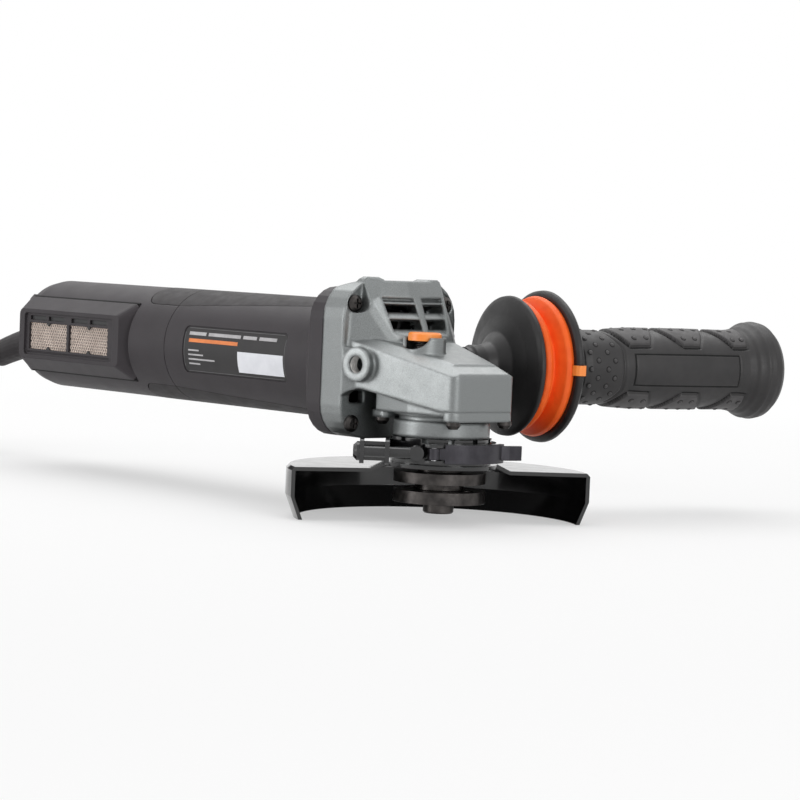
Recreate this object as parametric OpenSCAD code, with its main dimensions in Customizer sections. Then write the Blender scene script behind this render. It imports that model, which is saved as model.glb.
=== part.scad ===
// Angle grinder for 125 mm discs, with a side handle and a quick-clamp guard.
// +X points out of the nose, +Y to the side handle and +Z up.
// The origin is on the spindle axis, where the full M14 thread ends at the tip.

/* [Motor barrel and rear housing] */
// Height of the motor axis above the end of the spindle thread
motor_z = 65.5; // [65:0.1:66]
// Outer radius of the motor barrel
barrel_r = 28.2; // [28:0.1:28.4]
// Wall of the plastic housings
shell_wall = 2.6; // [2.4:0.1:2.8]
// Place of the rear end face along the motor axis
rear_x = -312; // [-314:1:-310]
// Place of the seam between motor housing and rear housing
ring_seam_x = -177; // [-179:1:-176]

/* [Gear housing] */
// Place of the joint between the metal gear housing and the motor housing
flange_x = -46.6; // [-47:0.1:-46]
// Half width of the square flange
flange_half = 34; // [33.6:0.1:34.4]
// Front face of the nose
nose_x = 28; // [27.6:0.1:28.4]
// Half width of the nose at its front face
nose_half = 18; // [17.8:0.1:18.4]
// Angle by which each side of the nose flares to the rear
flare_angle = 11.6; // [11.4:0.1:11.8]
// Half spacing of the four long screws that hold the gear housing
screw_half = 27.5; // [27.3:0.1:27.6]

/* [Bevel gears] */
// Teeth of the pinion on the motor shaft
pinion_teeth = 11; // [11:1:11]
// Teeth of the large gear on the spindle
gear_teeth = 37; // [37:1:37]
// Module of the teeth at their outer end
tooth_module = 1.05; // [1.04:0.01:1.06]
// Play between the flanks
backlash = 0.45; // [0.4:0.05:0.55]

/* [Spindle and flanges] */
// Radius of the M14 thread
thread_r = 7; // [7:0.5:7]
// Length of thread that stands out of the nut
thread_out = 4.3; // [4:0.1:4.6]
// Radius of the two clamping flanges
flange_r = 21; // [20.5:0.1:21.2]
// Radius of the spigot that centres a disc
spigot_r = 11.1; // [11.1:0.1:11.1]

/* [Guard] */
// Outer radius of the guard
guard_r = 70; // [69:0.5:71]
// Sheet thickness of the guard
guard_t = 1.8; // [1.6:0.1:2]
// Arc that the guard covers
guard_arc = 190; // [180:5:200]
// Direction of the middle of the closed side
guard_dir = 152; // [130:1:160]

/* [Side handle] */
// Angle by which the handle leans towards the nose
handle_tilt = 11.6; // [11.4:0.1:11.8]
// Radius of the M8 stud
stud_r = 3.95; // [3.9:0.01:3.97]
// Radius of the two M8 sockets
socket_r = 4; // [4:0.01:4.02]
// Radius of the grip at its middle
grip_r = 19; // [18.5:0.1:19.5]

/* [Cord] */
// Diameter of the mains cord
cord_d = 8; // [8:0.5:8]

/* [Hidden] */
$fn = 64;
eps = 0.01;

// Colours
plastic = "#3f3c3f";
rubber = "#343334";
metal = "#8b9392";
steel = "#55534f";
black = "#1d1d1f";
orange = "#ff7a1f";

// ---------- helpers ----------

// Moves children from the motor axis frame to the frame of the part
module m() {
    translate([0, 0, motor_z]) children();
}

// Cylinder along X from x0 to x1
module xcyl(x0, x1, r, r2 = -1) {
    translate([x0, 0, 0]) rotate([0, 90, 0]) cylinder(h = x1 - x0, r1 = r, r2 = r2 < 0 ? r : r2);
}

// Tube along X
module xtube(x0, x1, ro, ri) {
    difference() {
        xcyl(x0, x1, ro);
        xcyl(x0 - 1, x1 + 1, ri);
    }
}

// Cylinder along Z from z0 to z1
module zcyl(z0, z1, r, r2 = -1) {
    translate([0, 0, z0]) cylinder(h = z1 - z0, r1 = r, r2 = r2 < 0 ? r : r2);
}

// Tube along Z
module ztube(z0, z1, ro, ri) {
    difference() {
        zcyl(z0, z1, ro);
        zcyl(z0 - 1, z1 + 1, ri);
    }
}

// Turns a profile of [radius, place along the axis] about Z
module turned_z() {
    rotate_extrude() children();
}

// Turns a profile of [radius, place along the axis] about X
module turned_x() {
    rotate([0, 90, 0]) rotate_extrude() children();
}

// Extrudes a section drawn in Y and Z along X
module prism_x(x0, x1) {
    translate([x0, 0, 0]) rotate([90, 0, 90]) linear_extrude(x1 - x0) children();
}

// Extrudes a section drawn in X and Z across Y, from y0 to y1
module prism_y(y0, y1) {
    translate([0, y1, 0]) rotate([90, 0, 0]) linear_extrude(y1 - y0) children();
}

// Extrudes a plan drawn in X and Y along Z
module prism_z(z0, z1) {
    translate([0, 0, z0]) linear_extrude(z1 - z0) children();
}

// Box between two corners
module block(a, b) {
    translate(a) cube(b - a);
}

// Points of an arc
function arc(cx, cy, r, a0, a1, n) =
    [for (i = [0:n]) [cx + r * cos(a0 + (a1 - a0) * i / n), cy + r * sin(a0 + (a1 - a0) * i / n)]];

// Rectangle from (x0, y0) to (x1, y1) with round corners
function round_box(x0, y0, x1, y1, r, n = 6) = concat(
    arc(x1 - r, y0 + r, r, -90, 0, n), arc(x1 - r, y1 - r, r, 0, 90, n),
    arc(x0 + r, y1 - r, r, 90, 180, n), arc(x0 + r, y0 + r, r, 180, 270, n));

// Pan head screw along +X, its head seat at the origin, with a cross recess
module pan_screw_x(head_r, head_h, shank_r, length) {
    difference() {
        union() {
            xcyl(0, head_h * 0.5, head_r);
            xcyl(head_h * 0.5, head_h, head_r, head_r * 0.62);
            xcyl(-length, eps, shank_r);
        }
        for (a = [0, 90]) rotate([a, 0, 0])
            block([head_h - 1.3, -head_r * 0.55, -0.45], [head_h + 1, head_r * 0.55, 0.45]);
    }
}

// ---------- plastic housings ----------

bell_half = flange_half + 0.2;
bore_r = barrel_r - shell_wall;

// Groove outline of the soft inlay, seen from above
function inlay(x0, x1, w0, w1, r) = concat(
    [[x1, -w1]], [[x1, w1]], arc(x0 + r, w0 - r, r, 90, 180, 6),
    arc(x0 + r, r - w0, r, 180, 270, 6));

module inlay_solid(x0, x1, w0, w1, r, ri, ro) {
    for (s = [0, 180]) rotate([s, 0, 0]) intersection() {
        prism_z(8, 40) polygon(inlay(x0, x1, w0, w1, r));
        xtube(x0 - 5, x1 + 5, ro, ri);
    }
}

module motor_housing() {
    color(plastic) m() difference() {
        union() {
            xcyl(ring_seam_x, -60, barrel_r);
            hull() {
                prism_x(-56, flange_x) polygon(round_box(-bell_half, -34.5, bell_half, 34.5, 15, 6));
                xcyl(-65, -60, barrel_r);
            }
        }
        xcyl(ring_seam_x - 1, -57, bore_r);
        xcyl(-57.5, flange_x + 1, 29.5);
        label_recess();
        inlay_solid(ring_seam_x - 1, -70, 20, 14, 1, barrel_r - 0.8, barrel_r + 1);
        // slot for the switch slider
        block([-106, 20, -3.4], [-86, 40, 3.4]);
        // clearance for the long screws
        for (y = [-1, 1], z = [-1, 1]) translate([0, y * screw_half, z * screw_half])
            xcyl(-55, flange_x + 1, 1.7);
    }
}

module label_recess() {
    difference() {
        prism_y(-40, -10) polygon(round_box(-162, -12, -81, 11, 2.5, 4));
        xcyl(-170, -70, barrel_r - 0.5);
    }
}

module motor_soft_grips() {
    color(rubber) m() intersection() {
        inlay_solid(ring_seam_x - 1, -70, 20, 14, 1, barrel_r - 0.8, barrel_r + 0.1);
        block([ring_seam_x, -40, -40], [0, 40, 40]);
    }
}

// Section of the rear housing: round above and below, flat where the filter covers sit
filter_seat_y = 20.5;
filter_x0 = rear_x + 3;
filter_x1 = -208;
rear_screw_x = [-288, -214];
rear_screw_z = 21.6;

// Round wall of the rear housing with its end wall, flats and outlets
module rear_wall() {
    difference() {
        turned_x() polygon([[0, rear_x], [barrel_r - 4, rear_x], [barrel_r - 1.2, rear_x + 4.5],
            [barrel_r, rear_x + 11], [barrel_r, ring_seam_x - 0.4], [bore_r, ring_seam_x - 0.4],
            [bore_r, rear_x + 8], [bore_r - 2, rear_x + 3], [0, rear_x + 3]]);
        // flats for the covers
        for (s = [-1, 1])
            block([filter_x0, s > 0 ? filter_seat_y : -60, -60],
                [filter_x1, s > 0 ? 60 : -filter_seat_y, 60]);
        inlay_solid(-207, ring_seam_x + 1, 20, 20, 9, barrel_r - 0.8, barrel_r + 1);
        // hole for the strain relief
        translate([0, 0, -2.5]) xcyl(rear_x - 1, rear_x + 6, 7.5);
        // slot for the speed dial
        block([rear_x - 1, -2.9, 8.4], [rear_x + 6, 2.9, 24.6]);
    }
}

// Space on one side of the parting plane
module half_space(side) {
    block([-400, side > 0 ? 0 : -60, -60], [0, side > 0 ? 60 : 0, 60]);
}

module rear_cover(side) {
    difference() {
        union() {
            intersection() {
                rear_wall();
                half_space(side);
            }
            // spigot inside the motor housing
            intersection() {
                turned_x() polygon([[23.4, -182], [23.4, -171], [bore_r - 0.02, -171],
                    [bore_r - 0.02, ring_seam_x - 1], [bore_r + 0.8, ring_seam_x - 1],
                    [bore_r + 0.8, -182]]);
                half_space(side);
            }
            // pillar under the cord clamp
            intersection() {
                block([-300, side * 11 - 3, -27], [-292, side * 11 + 3, -14]);
                xcyl(-301, -291, bore_r + 1);
            }
            // flat seat with the air windows
            intersection() {
                xcyl(filter_x0 - 1, filter_x1 + 1, barrel_r - 1);
                difference() {
                    block([filter_x0 - 1, side > 0 ? filter_seat_y - 2.5 : -filter_seat_y, -26],
                        [filter_x1 + 1, side > 0 ? filter_seat_y : 2.5 - filter_seat_y, 26]);
                    for (x = [-299, -262]) block([x, -40, -10], [x + 33, 40, 10]);
                }
            }
            // screw posts
            for (x = rear_screw_x, z = [-1, 1]) translate([x, 0, z * rear_screw_z])
                rotate([-90, 0, 0]) zcyl(side > 0 ? 0 : -10, side > 0 ? 16 : 0, 4.6);
        }
        // gap for the switch rod
        block([-190, 20, -4.6], [-160, 40, 4.6]);
        // bores of the posts, counterbored on the right
        for (x = rear_screw_x, z = [-1, 1]) translate([x, 0, z * rear_screw_z])
            rotate([-90, 0, 0]) turned_z() polygon([[0, -11], [1.3, -11], [1.3, 9], [3.1, 9],
                [3.1, 40], [0, 40]]);
    }
}

module rear_cover_left() {
    color(plastic) m() rear_cover(-1);
}

module rear_cover_right() {
    color(plastic) m() rear_cover(1);
}

module rear_soft_grips() {
    color(rubber) m() inlay_solid(-206.7, ring_seam_x - 0.4, 19.7, 19.7, 9, barrel_r - 0.8, barrel_r + 0.1);
}

// Filter cover: a bevelled plate with a framed window, on the flat seat
cover_y = 29.5;
// Rear end of the recessed panel
panel_x0 = filter_x0 + 8;
// Outer face of the mesh, just behind the frame of the windows
mesh_y = cover_y - 2.6;

module filter_cover(side) {
    mirror([0, side > 0 ? 0 : 1, 0]) difference() {
        hull() {
            prism_y(filter_seat_y, filter_seat_y + 1)
                polygon(round_box(filter_x0 + 0.3, -19.3, filter_x1 - 0.3, 19.3, 4, 4));
            prism_y(cover_y - 1, cover_y)
                polygon(round_box(filter_x0 + 3.4, -13, filter_x1 - 7, 13, 3, 4));
        }
        // hollow behind the frame
        block([panel_x0 + 2, filter_seat_y - 1, -11.5], [panel_x0 + 76, mesh_y, 11.5]);
        // recessed panel
        prism_y(cover_y - 1.2, cover_y + 1)
            polygon(round_box(panel_x0, -11, panel_x0 + 81, 11, 2, 3));
        // two windows
        for (x = [3, 40]) block([panel_x0 + x, filter_seat_y, -8], [panel_x0 + x + 35, cover_y + 1, 6]);
        // air slots over the windows
        for (x = [4, 21, 42, 59])
            block([panel_x0 + x, filter_seat_y, 7.4], [panel_x0 + x + 15, cover_y + 1, 9.6]);
        // grip rib lines below the windows
        block([panel_x0 + 2, cover_y - 1.8, -9.9], [panel_x0 + 77, cover_y + 1, -9.2]);
    }
}

module filter_cover_left() {
    color(plastic) m() filter_cover(-1);
}

module filter_cover_right() {
    color(plastic) m() filter_cover(1);
}

// Filter mesh: a thin framed sheet that closes the windows from behind
module filter_mesh(side) {
    mirror([0, side > 0 ? 0 : 1, 0])
        block([panel_x0 + 2, mesh_y - 0.8, -11.5], [panel_x0 + 76, mesh_y, 11.5]);
}

module filter_mesh_left() {
    color("#b9b2a8") m() filter_mesh(-1);
}

module filter_mesh_right() {
    color("#b9b2a8") m() filter_mesh(1);
}

module rear_cover_screws() {
    color(steel) m() for (x = rear_screw_x, z = [-1, 1])
        translate([x, 9, z * rear_screw_z]) rotate([0, 0, 90]) pan_screw_x(2.9, 1.8, 1.3, 18);
}

// ---------- gear housing ----------

function side_half(x) = nose_half + (nose_x - x) * tan(flare_angle);

// Side outline of the flange and the vent tower
tower_side = [[flange_x, -34.5], [-32, -34.5], [-32, 4], [-6, 4], [-6, 33], [-24.2, 38.3],
    [-36, 38.3], [flange_x, 34.5]];

// The vent face leans back and is bent along its middle like a shallow V
vent_ridge = [-20.1, 30.5];
vent_lean = 22.65;
vent_bend = 14.34;

// Front outline of the flange and the tower
tower_front = concat(arc(-19, -19.5, 15, 180, 270, 6), arc(19, -19.5, 15, 270, 360, 6),
    arc(16, 20.5, 18, 0, 90, 6), arc(-16, 20.5, 18, 90, 180, 6));

// Plan of the tower, which flares to the flange like the side walls of the nose
tower_plan = [[flange_x, -35], [-33, -35], [-31.5, -34], [-27.5, -29.4], [-5, -25], [-5, 25],
    [-27.5, 29.4], [-31.5, 34], [-33, 35], [flange_x, 35]];

// Plan of the nose
nose_plan = concat([[-34, -side_half(-34)]], arc(nose_x - 4, -nose_half + 3.2, 4, -78.4, 0, 5),
    arc(nose_x - 4, nose_half - 3.2, 4, 0, 78.4, 5), [[-34, side_half(-34)]]);

// Height of the joint between the nose and the front lug of the bearing cap
step_z = -18.5;
lug_x = 22.2;

// Places of the four screws of the bearing cap, and the heights of their heads
cap_screws = [for (x = [-23.5, 24.8], y = [-15.5, 15.5]) [x, y, x > 0 ? -22.8 : -23.8]];

// Height of the raised deck over the motor axis
function deck(x) = 7.1 - 0.213 * x;

nose_side = [[-34, -9.5], [20, step_z], [nose_x, step_z], [nose_x, -3], [nose_x - 1, -1.3],
    [20.8, 1.7], [20, deck(20)], [-34, deck(-34)]];

// Cuts away all that lies in front of a plane through p. The plane's normal points
// az degrees to the side and lean degrees upwards.
module plane_cut(side, az, lean, p) {
    mirror([0, side < 0 ? 1 : 0, 0]) intersection() {
        translate(p) rotate([0, -lean, az]) block([0, -60, -60], [60, 60, 60]);
        block([-32, -60, 0], [60, 60, 60]);
    }
}

module tower_solid() {
    difference() {
        union() {
            intersection() {
                prism_y(-36, 36) polygon(tower_side);
                prism_x(flange_x, 0) polygon(tower_front);
                prism_z(-36, 40) polygon(tower_plan);
            }
            // horns that carry the edge of each screw recess above the roof
            for (y = horns) intersection() {
                prism_x(-38, -26) polygon([[y[0] - 2.5, 34], [y[0] - 0.6, y[2] - 1], [y[0] + 1, y[2]],
                    [y[1] - 1, y[2]], [y[1] + 0.6, y[2] - 1], [y[1] + 2.5, 34]]);
                prism_y(-36, 36) polygon([[-38, 30], [-26, 30], [-26.6, 37.4], [-29, 41], [-34, 41],
                    [-38, 37]]);
            }
        }
        for (s = [-1, 1]) plane_cut(s, vent_bend, vent_lean, [vent_ridge[0], 0, vent_ridge[1]]);
        plane_cut(1, 0, 23.3, [-21, 0, 30.5]);
        // flanks, the near one blended into the vent face
        plane_cut(1, 45, 16.8, [-17, 20.4, 11.3]);
        plane_cut(-1, 45, 3, [-16.3, 15, 12.7]);
        plane_cut(-1, 25, 16.6, [-20.6, 16.3, 20.9]);
        plane_cut(-1, 35.4, 9.8, [-21.9, 19.6, 18.6]);
        plane_cut(-1, 35, 30, [-25.5, 22.6, 28]);
    }
    // the side walls flare out to the flange, and end below in the foot of an arch
    for (s = [0, 1]) mirror([0, s, 0]) intersection() {
        prism_z(-18, 8.8) polygon([[-36, 28], [-36, 34], [-31.5, 34], [-27.5, 29.4], [-24, 28.4],
            [-24, 28]]);
        prism_y(20, 40) polygon([[-36, 8.8], [-24, 6], [-24, -11], [-26.5, -11.2], [-29.8, -12.5],
            [-32, -14.6], [-34, -17.8], [-36, -17.8]]);
    }
}

// Side to side extent and height of the two horns
horns = [[-21.4, -15.3, 39.8], [11.5, 20, 39.2]];

// Frame of one half of the vent face: local X points straight out of it
module vent_frame(side) {
    translate([vent_ridge[0], 0, vent_ridge[1]]) rotate([0, -vent_lean, side * vent_bend]) children();
}

module nose_solid() {
    difference() {
        union() {
            intersection() {
                prism_y(-40, 40) polygon(nose_side);
                prism_z(-22, 16) polygon(nose_plan);
            }
            // gear chamber below the side beams
            intersection() {
                prism_z(-20.5, -4) polygon([[-26.5, -16], [-20, -22.8], [2, -22.8],
                    [nose_x - 2, -17.6], [nose_x - 2, 17.6], [2, 22.8], [-20, 22.8], [-26.5, 16]]);
                prism_z(-21, 1) polygon(nose_plan);
            }
        }
        // broad bevels between the deck and the side walls
        for (s = [0, 1]) mirror([0, s, 0]) translate([0, side_half(0), 3.4])
            rotate([0, -58, 57.3]) block([0, -80, -60], [60, 80, 60]);
    }
}

// The lock button sits off the axes so that its pin misses spindle and pinion
lock_x = -4;
lock_y = -9;
cup_z = 5.6;

// Inner and outer edge of the windows, which narrow downwards
function window_in(side, z) = side < 0 ? 2.1 + 0.19 * z : 2.75 + 0.095 * z;
function window_out(side, z) = side < 0 ? 18.5 + 0.262 * z : 20 + 0.22 * z;

// Upper edge, lower edge and slot bottom of each louvre, measured down the face
louvres = [[0.2, -2.7, -6.1], [-6.1, -10.1, -14.3], [-14.3, -17.9, -17.9]];

module window_outline(side, z0, z1) {
    polygon([[window_in(side, z0), z0], [window_out(side, z0), z0], [window_out(side, z1), z1],
        [window_in(side, z1), z1]]);
}

// Windows in one half of the vent face: a slanting pane above each slot, and the duct behind
module vent_louvres(side) {
    vent_frame(side) mirror([0, side < 0 ? 1 : 0, 0]) {
        for (l = louvres) {
            // pane: deepest along its upper edge and flush where it meets the slot
            intersection() {
                prism_x(-4, 3) window_outline(side, l[0], l[1]);
                prism_y(-5, 25) polygon([[1, l[0] + 1], [-2.2, l[0] + 1], [-2.2, l[0]], [0, l[1]],
                    [1, l[1]]]);
            }
            if (l[2] < l[1]) prism_x(-9, 3) window_outline(side, l[1], l[2]);
        }
        prism_x(-14, -3.2) polygon([[1.6, 1], [17.2, 1], [12.6, -17], [1.6, -17]]);
    }
}

// Seat of the two upper flange screws
seat_x = -32.8;

module teardrop_recess() {
    // round the screw head and drawn out to a point under the horn
    prism_x(seat_x, -5) polygon(concat(arc(0, 0, 4.4, -180, 50, 12),
        [[-0.9, 5.8], [-3.4, 8.2], [-4.8, 9.3]]));
}

socket_x = -23.6;
socket_y = 32.9;

module socket_frame(side) {
    // local Z points out of the socket
    translate([socket_x, side * socket_y, 0]) rotate([0, 0, -side * handle_tilt])
        rotate([-side * 90, 0, 0]) children();
}

module gear_housing() {
    color(metal) m() difference() {
        union() {
            tower_solid();
            nose_solid();
            for (s = [-1, 1]) socket_frame(s) zcyl(-14, 0, 7.8);
            translate([lock_x, lock_y, 0]) zcyl(0, 13.6, 9.8);
        }
        // fan chamber, and the duct from it to the vents
        xcyl(flange_x - 1, -36, 29.5);
        prism_y(-15.5, 15.5) polygon([[-44, 18], [-44, 32], [-37, 35.5], [-30.5, 35.5], [-24.5, 20],
            [-24, 14.6], [-38, 14.6]]);
        for (s = [-1, 1]) vent_louvres(s);
        // seat of the front motor bearing and the pinion bore
        xcyl(-37, -26.5, 11);
        xcyl(-27, -20, 8.4);
        // gear chamber
        zcyl(-21.5, -1.5, 20.8);
        xcyl(-21, -9, 8.4);
        zcyl(-2, 3, 6.5);
        // side handle sockets
        for (s = [-1, 1]) socket_frame(s) zcyl(-14.5, 1, socket_r);
        // cup of the lock button, its pin bore and the thumb scoop
        translate([lock_x, lock_y, 0]) {
            zcyl(cup_z, 14, 8.1);
            zcyl(-3, 8, 2.6);
            translate([-4, -4.6, 17.7]) rotate([0, 90, -41]) cylinder(h = 16, r = 9.5);
        }
        // screws of the motor flange and of the bearing cap
        for (y = [-1, 1], z = [-1, 1]) translate([0, y * screw_half, z * screw_half])
            xcyl(flange_x - 1, -31.5, 2.1);
        for (y = [-1, 1]) translate([0, y * screw_half, screw_half]) mirror([0, y > 0 ? 0 : 1, 0])
            teardrop_recess();
        for (c = cap_screws) translate([c[0], c[1], 0]) zcyl(-21.5, -12, 1.7);
        // room for the front lug of the bearing cap
        block([lug_x, -30, -24], [nose_x + 1, 30, step_z]);
        // slot in the flange behind each arch
        for (s = [-1, 1]) translate([-40, s * 24.6, -15.3]) rotate([0, 90, 0])
            linear_extrude(12) polygon(round_box(-2.9, -4.3, 2.9, 4.3, 1.4, 3));
    }
}

module gear_housing_screws() {
    color(steel) m() for (y = [-1, 1], z = [-1, 1])
        translate([z > 0 ? seat_x : -32, y * screw_half, z * screw_half])
            pan_screw_x(3.9, 2.6, 1.7, 20);
}

module bearing_cap() {
    color(metal) m() difference() {
        union() {
            // register, groove, bearing seat and the collar that carries the guard
            zcyl(-21.4, -20.5, 22);
            zcyl(-23.9, -21.3, 19.5);
            zcyl(-31, -23.8, 22);
            zcyl(-41.5, -30, 19.5);
            intersection() {
                prism_z(-22.8, step_z) polygon(nose_plan);
                block([lug_x, -30, -24], [nose_x + 1, 30, -18]);
            }
            block([12, -10, -22.8], [lug_x + 1, 10, -20.5]);
            prism_z(-23.8, -20.5) polygon(round_box(-28, -19.5, -17, 19.5, 3, 4));
        }
        zcyl(-30.5, -20, 16);
        zcyl(-45, -30, 10);
        for (c = cap_screws) translate([c[0], c[1], 0]) zcyl(-25, -18, 2.1);
    }
}

module bearing_cap_screws() {
    color(steel) m() for (c = cap_screws)
        translate(c) rotate([0, 90, 0]) pan_screw_x(3.3, 3.2, 1.7, 10);
}

// ---------- spindle ----------

module ball_bearing(width, ro, ri) {
    difference() {
        zcyl(0, width, ro);
        zcyl(-1, width + 1, ri);
        // open faces between the races
        for (z = [-eps, width - 0.6]) difference() {
            zcyl(z, z + 0.6 + eps, ro - (ro - ri) * 0.25);
            zcyl(z - 1, z + 2, ri + (ro - ri) * 0.25);
        }
    }
}

module spindle_bearing() {
    color("#c9c9c9") m() translate([0, 0, -30.5]) ball_bearing(10, 16, 6.03);
}

module spindle_bush() {
    color("#b08d57") m() ztube(-1.9, 3, 6.5, 4.53);
}

module spindle() {
    color(steel) {
        m() {
            zcyl(-20, 2.6, 4.5);
            zcyl(-30.6, -20 + eps, 6);
            zcyl(-42, -30.55, 8.4);
        }
        // free thread, and the thread that the nut and the flange cover
        zcyl(0, thread_out, thread_r);
        zcyl(thread_out - eps, motor_z - 42 + eps, thread_r - 0.2);
        zcyl(-0.7, 0, thread_r - 0.7, thread_r);
    }
}

// ---------- bevel gears ----------

gear_angle = atan(gear_teeth / pinion_teeth);
cone_out = tooth_module * gear_teeth / 2 / sin(gear_angle);
cone_in = cone_out - 6;
addendum = 0.85 * tooth_module;
dedendum = 1.25 * tooth_module;

// Azimuth and cone angle of the four corners of tooth i
function tooth_corner(teeth, cone, i, k) =
    let (pitch_r = cone_out * sin(cone), step = 360 / teeth,
        half = step / 4 - backlash / 4 / pitch_r * 57.3,
        lean = 0.38 * tooth_module / pitch_r * 57.3,
        side = k < 2 ? -1 : 1, top = k == 1 || k == 2)
    [i * step + side * (top ? half - lean * 0.85 : half + lean * 1.1),
        cone + (top ? addendum : -dedendum) / cone_out * 57.3];

// Point at a distance from the apex, with the gear axis along +Z
function cone_point(dist, azimuth, angle) =
    [dist * sin(angle) * cos(azimuth), dist * sin(angle) * sin(azimuth), dist * cos(angle)];

function tooth_ring(teeth, cone, dist) = [for (i = [0:teeth - 1], k = [0:3])
    let (c = tooth_corner(teeth, cone, i, k)) cone_point(dist, c[0], c[1])];

// Toothed crown of a bevel gear, apex at the origin, closed by a ring behind the teeth
module bevel_crown(teeth, cone, r_in, r_out, back) {
    n = teeth * 4;
    toe = tooth_ring(teeth, cone, cone_in);
    heel = tooth_ring(teeth, cone, cone_out);
    base_out = [for (p = heel) let (a = atan2(p[1], p[0])) [r_out * cos(a), r_out * sin(a), back]];
    base_in = [for (p = toe) let (a = atan2(p[1], p[0])) [r_in * cos(a), r_in * sin(a), back]];
    polyhedron(points = concat(toe, heel, base_out, base_in),
        faces = [for (q = [0:3], i = [0:n - 1], t = [0, 1])
            let (a = q * n + i, b = q * n + (i + 1) % n,
                c = ((q + 1) % 4) * n + (i + 1) % n, d = ((q + 1) % 4) * n + i)
            t == 0 ? [a, c, b] : [a, d, c]], convexity = 8);
}

module bevel_gear() {
    color("#6b6a66") m() difference() {
        union() {
            mirror([0, 0, 1]) rotate([0, 0, 180 / gear_teeth + 180])
                bevel_crown(gear_teeth, gear_angle, 12.6, 17.6, 11);
            difference() {
                zcyl(-12.5, -9.2, 13.8);
                // holes that the lock pin enters
                for (a = [0:90:270]) rotate([0, 0, a + atan2(lock_y, lock_x)])
                    translate([norm([lock_x, lock_y]), 0, 0]) zcyl(-13, -8, 2.9);
            }
            zcyl(-20 + 2 * eps, -7.5, 6.6);
        }
        zcyl(-21, -7, 4.52);
    }
}

module pinion() {
    color("#77756f") m() rotate([0, -90, 0]) {
        rotate([0, 0, 180]) pinion_teeth_solid();
        difference() {
            zcyl(cone_out * cos(90 - gear_angle) - 0.3, 26.2, 4.4);
            zcyl(21, 27, 3);
        }
    }
}

// Pinion teeth as a closed tapered solid with a centre point on each end
module pinion_teeth_solid() {
    n = pinion_teeth * 4;
    toe = tooth_ring(pinion_teeth, 90 - gear_angle, cone_in);
    heel = tooth_ring(pinion_teeth, 90 - gear_angle, cone_out);
    ends = [[0, 0, cone_in * 0.95], [0, 0, cone_out * 0.97]];
    polyhedron(points = concat(toe, heel, ends), faces = concat(
        [for (i = [0:n - 1], t = [0, 1]) let (j = (i + 1) % n)
            t == 0 ? [i, n + j, j] : [i, n + i, n + j]],
        [for (i = [0:n - 1]) [i, (i + 1) % n, 2 * n]],
        [for (i = [0:n - 1]) [n + (i + 1) % n, n + i, 2 * n + 1]]), convexity = 8);
}

// ---------- discs flanges ----------

module inner_flange() {
    color(steel) m() difference() {
        union() {
            zcyl(-52, -47, flange_r);
            zcyl(-47 - eps, -42, 10.2);
            zcyl(-55.2, -52 + eps, spigot_r);
        }
        zcyl(-56, -41, thread_r - 0.17);
    }
}

module flange_nut() {
    color(steel) difference() {
        union() {
            zcyl(thread_out + 0.2, thread_out + 5.8, flange_r);
        }
        zcyl(0, 20, thread_r - 0.17);
        // two holes for the pin spanner
        for (a = [20, 200]) rotate([0, 0, a]) translate([15, 0, 0]) zcyl(0, 20, 2.6);
    }
}

// ---------- motor ----------

module rotor_shaft() {
    color("#9a9a98") m() {
        xcyl(-160, -26.2, 4);
        xcyl(-26.2 - eps, -21.2, 3);
        xcyl(-168, -160 + eps, 3.5);
    }
}

module rotor_magnets() {
    color("#4b4b4d") m() {
        difference() {
            xcyl(-137, -85, 14);
            xcyl(-140, -80, 4);
        }
        for (a = [0:90:270]) rotate([a, 0, 0]) difference() {
            intersection() {
                xcyl(-136, -86, 16.4);
                rotate([38, 0, 0]) block([-137, 0, 0], [-85, 20, 20]);
                rotate([-38, 0, 0]) block([-137, 0, 0], [-85, 20, 20]);
            }
            xcyl(-140, -80, 14);
        }
    }
}

module cooling_fan() {
    color("#2b2b2d") m() difference() {
        union() {
            xcyl(-52, -50.5, 27);
            xcyl(-52, -39, 7.5);
            for (a = [0:30:330]) rotate([a, 0, 0])
                translate([0, 0, 6.5]) rotate([18, 0, 0]) block([-51, -0.8, 0], [-39.4, 0.8, 19.2]);
        }
        xcyl(-54, -38, 4);
        // balancing holes between the blades
        for (a = [0:60:300]) rotate([a + 22.6, 0, 0]) translate([0, 0, 12]) xcyl(-53, -50, 1.7);
    }
}

module front_bearing() {
    color("#c9c9c9") m() translate([-26.5, 0, 0]) rotate([0, -90, 0]) ball_bearing(7, 11, 4.03);
}

module rear_bearing() {
    color("#c9c9c9") m() translate([-160.5, 0, 0]) rotate([0, -90, 0]) ball_bearing(6, 9.5, 3.53);
}

// Spider that holds the rear motor bearing
module bearing_bracket() {
    color("#2f2f31") m() difference() {
        union() {
            xtube(-171, -160, 25.6, 22);
            xcyl(-171, -160, 12.5);
            for (a = [30:60:330]) rotate([a, 0, 0]) block([-171, -2, 8], [-162, 2, 23]);
        }
        xcyl(-166.5, -150, 9.5);
        xcyl(-175, -165, 5);
        block([-180, 22.6, -4.6], [-150, 40, 4.6]);
    }
}

module stator_core() {
    color("#8a8a88") m() difference() {
        xcyl(-137, -85, 25.6);
        xcyl(-140, -80, 17);
        // flats that leave room for the switch rod
        for (s = [-1, 1]) block([-140, s > 0 ? 22.4 : -40, -20], [-80, s > 0 ? 40 : -22.4, 20]);
        // winding slots
        for (a = [0:30:330]) rotate([a + 15, 0, 0]) {
            block([-140, -1.2, 15], [-80, 1.2, 18.6]);
            translate([0, 0, 19.4]) xcyl(-140, -80, 2.4);
        }
    }
}

// Copper end turns, in the slots and over both ends of the core
module stator_windings() {
    color("#b5692f") m() {
        for (a = [0:30:330]) rotate([a + 15, 0, 0]) translate([0, 0, 19.4]) xcyl(-139, -83, 2.3);
        for (x = [-146, -85 + 0.0]) xtube(x, x + 9, 21.8, 17.6);
    }
}

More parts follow.
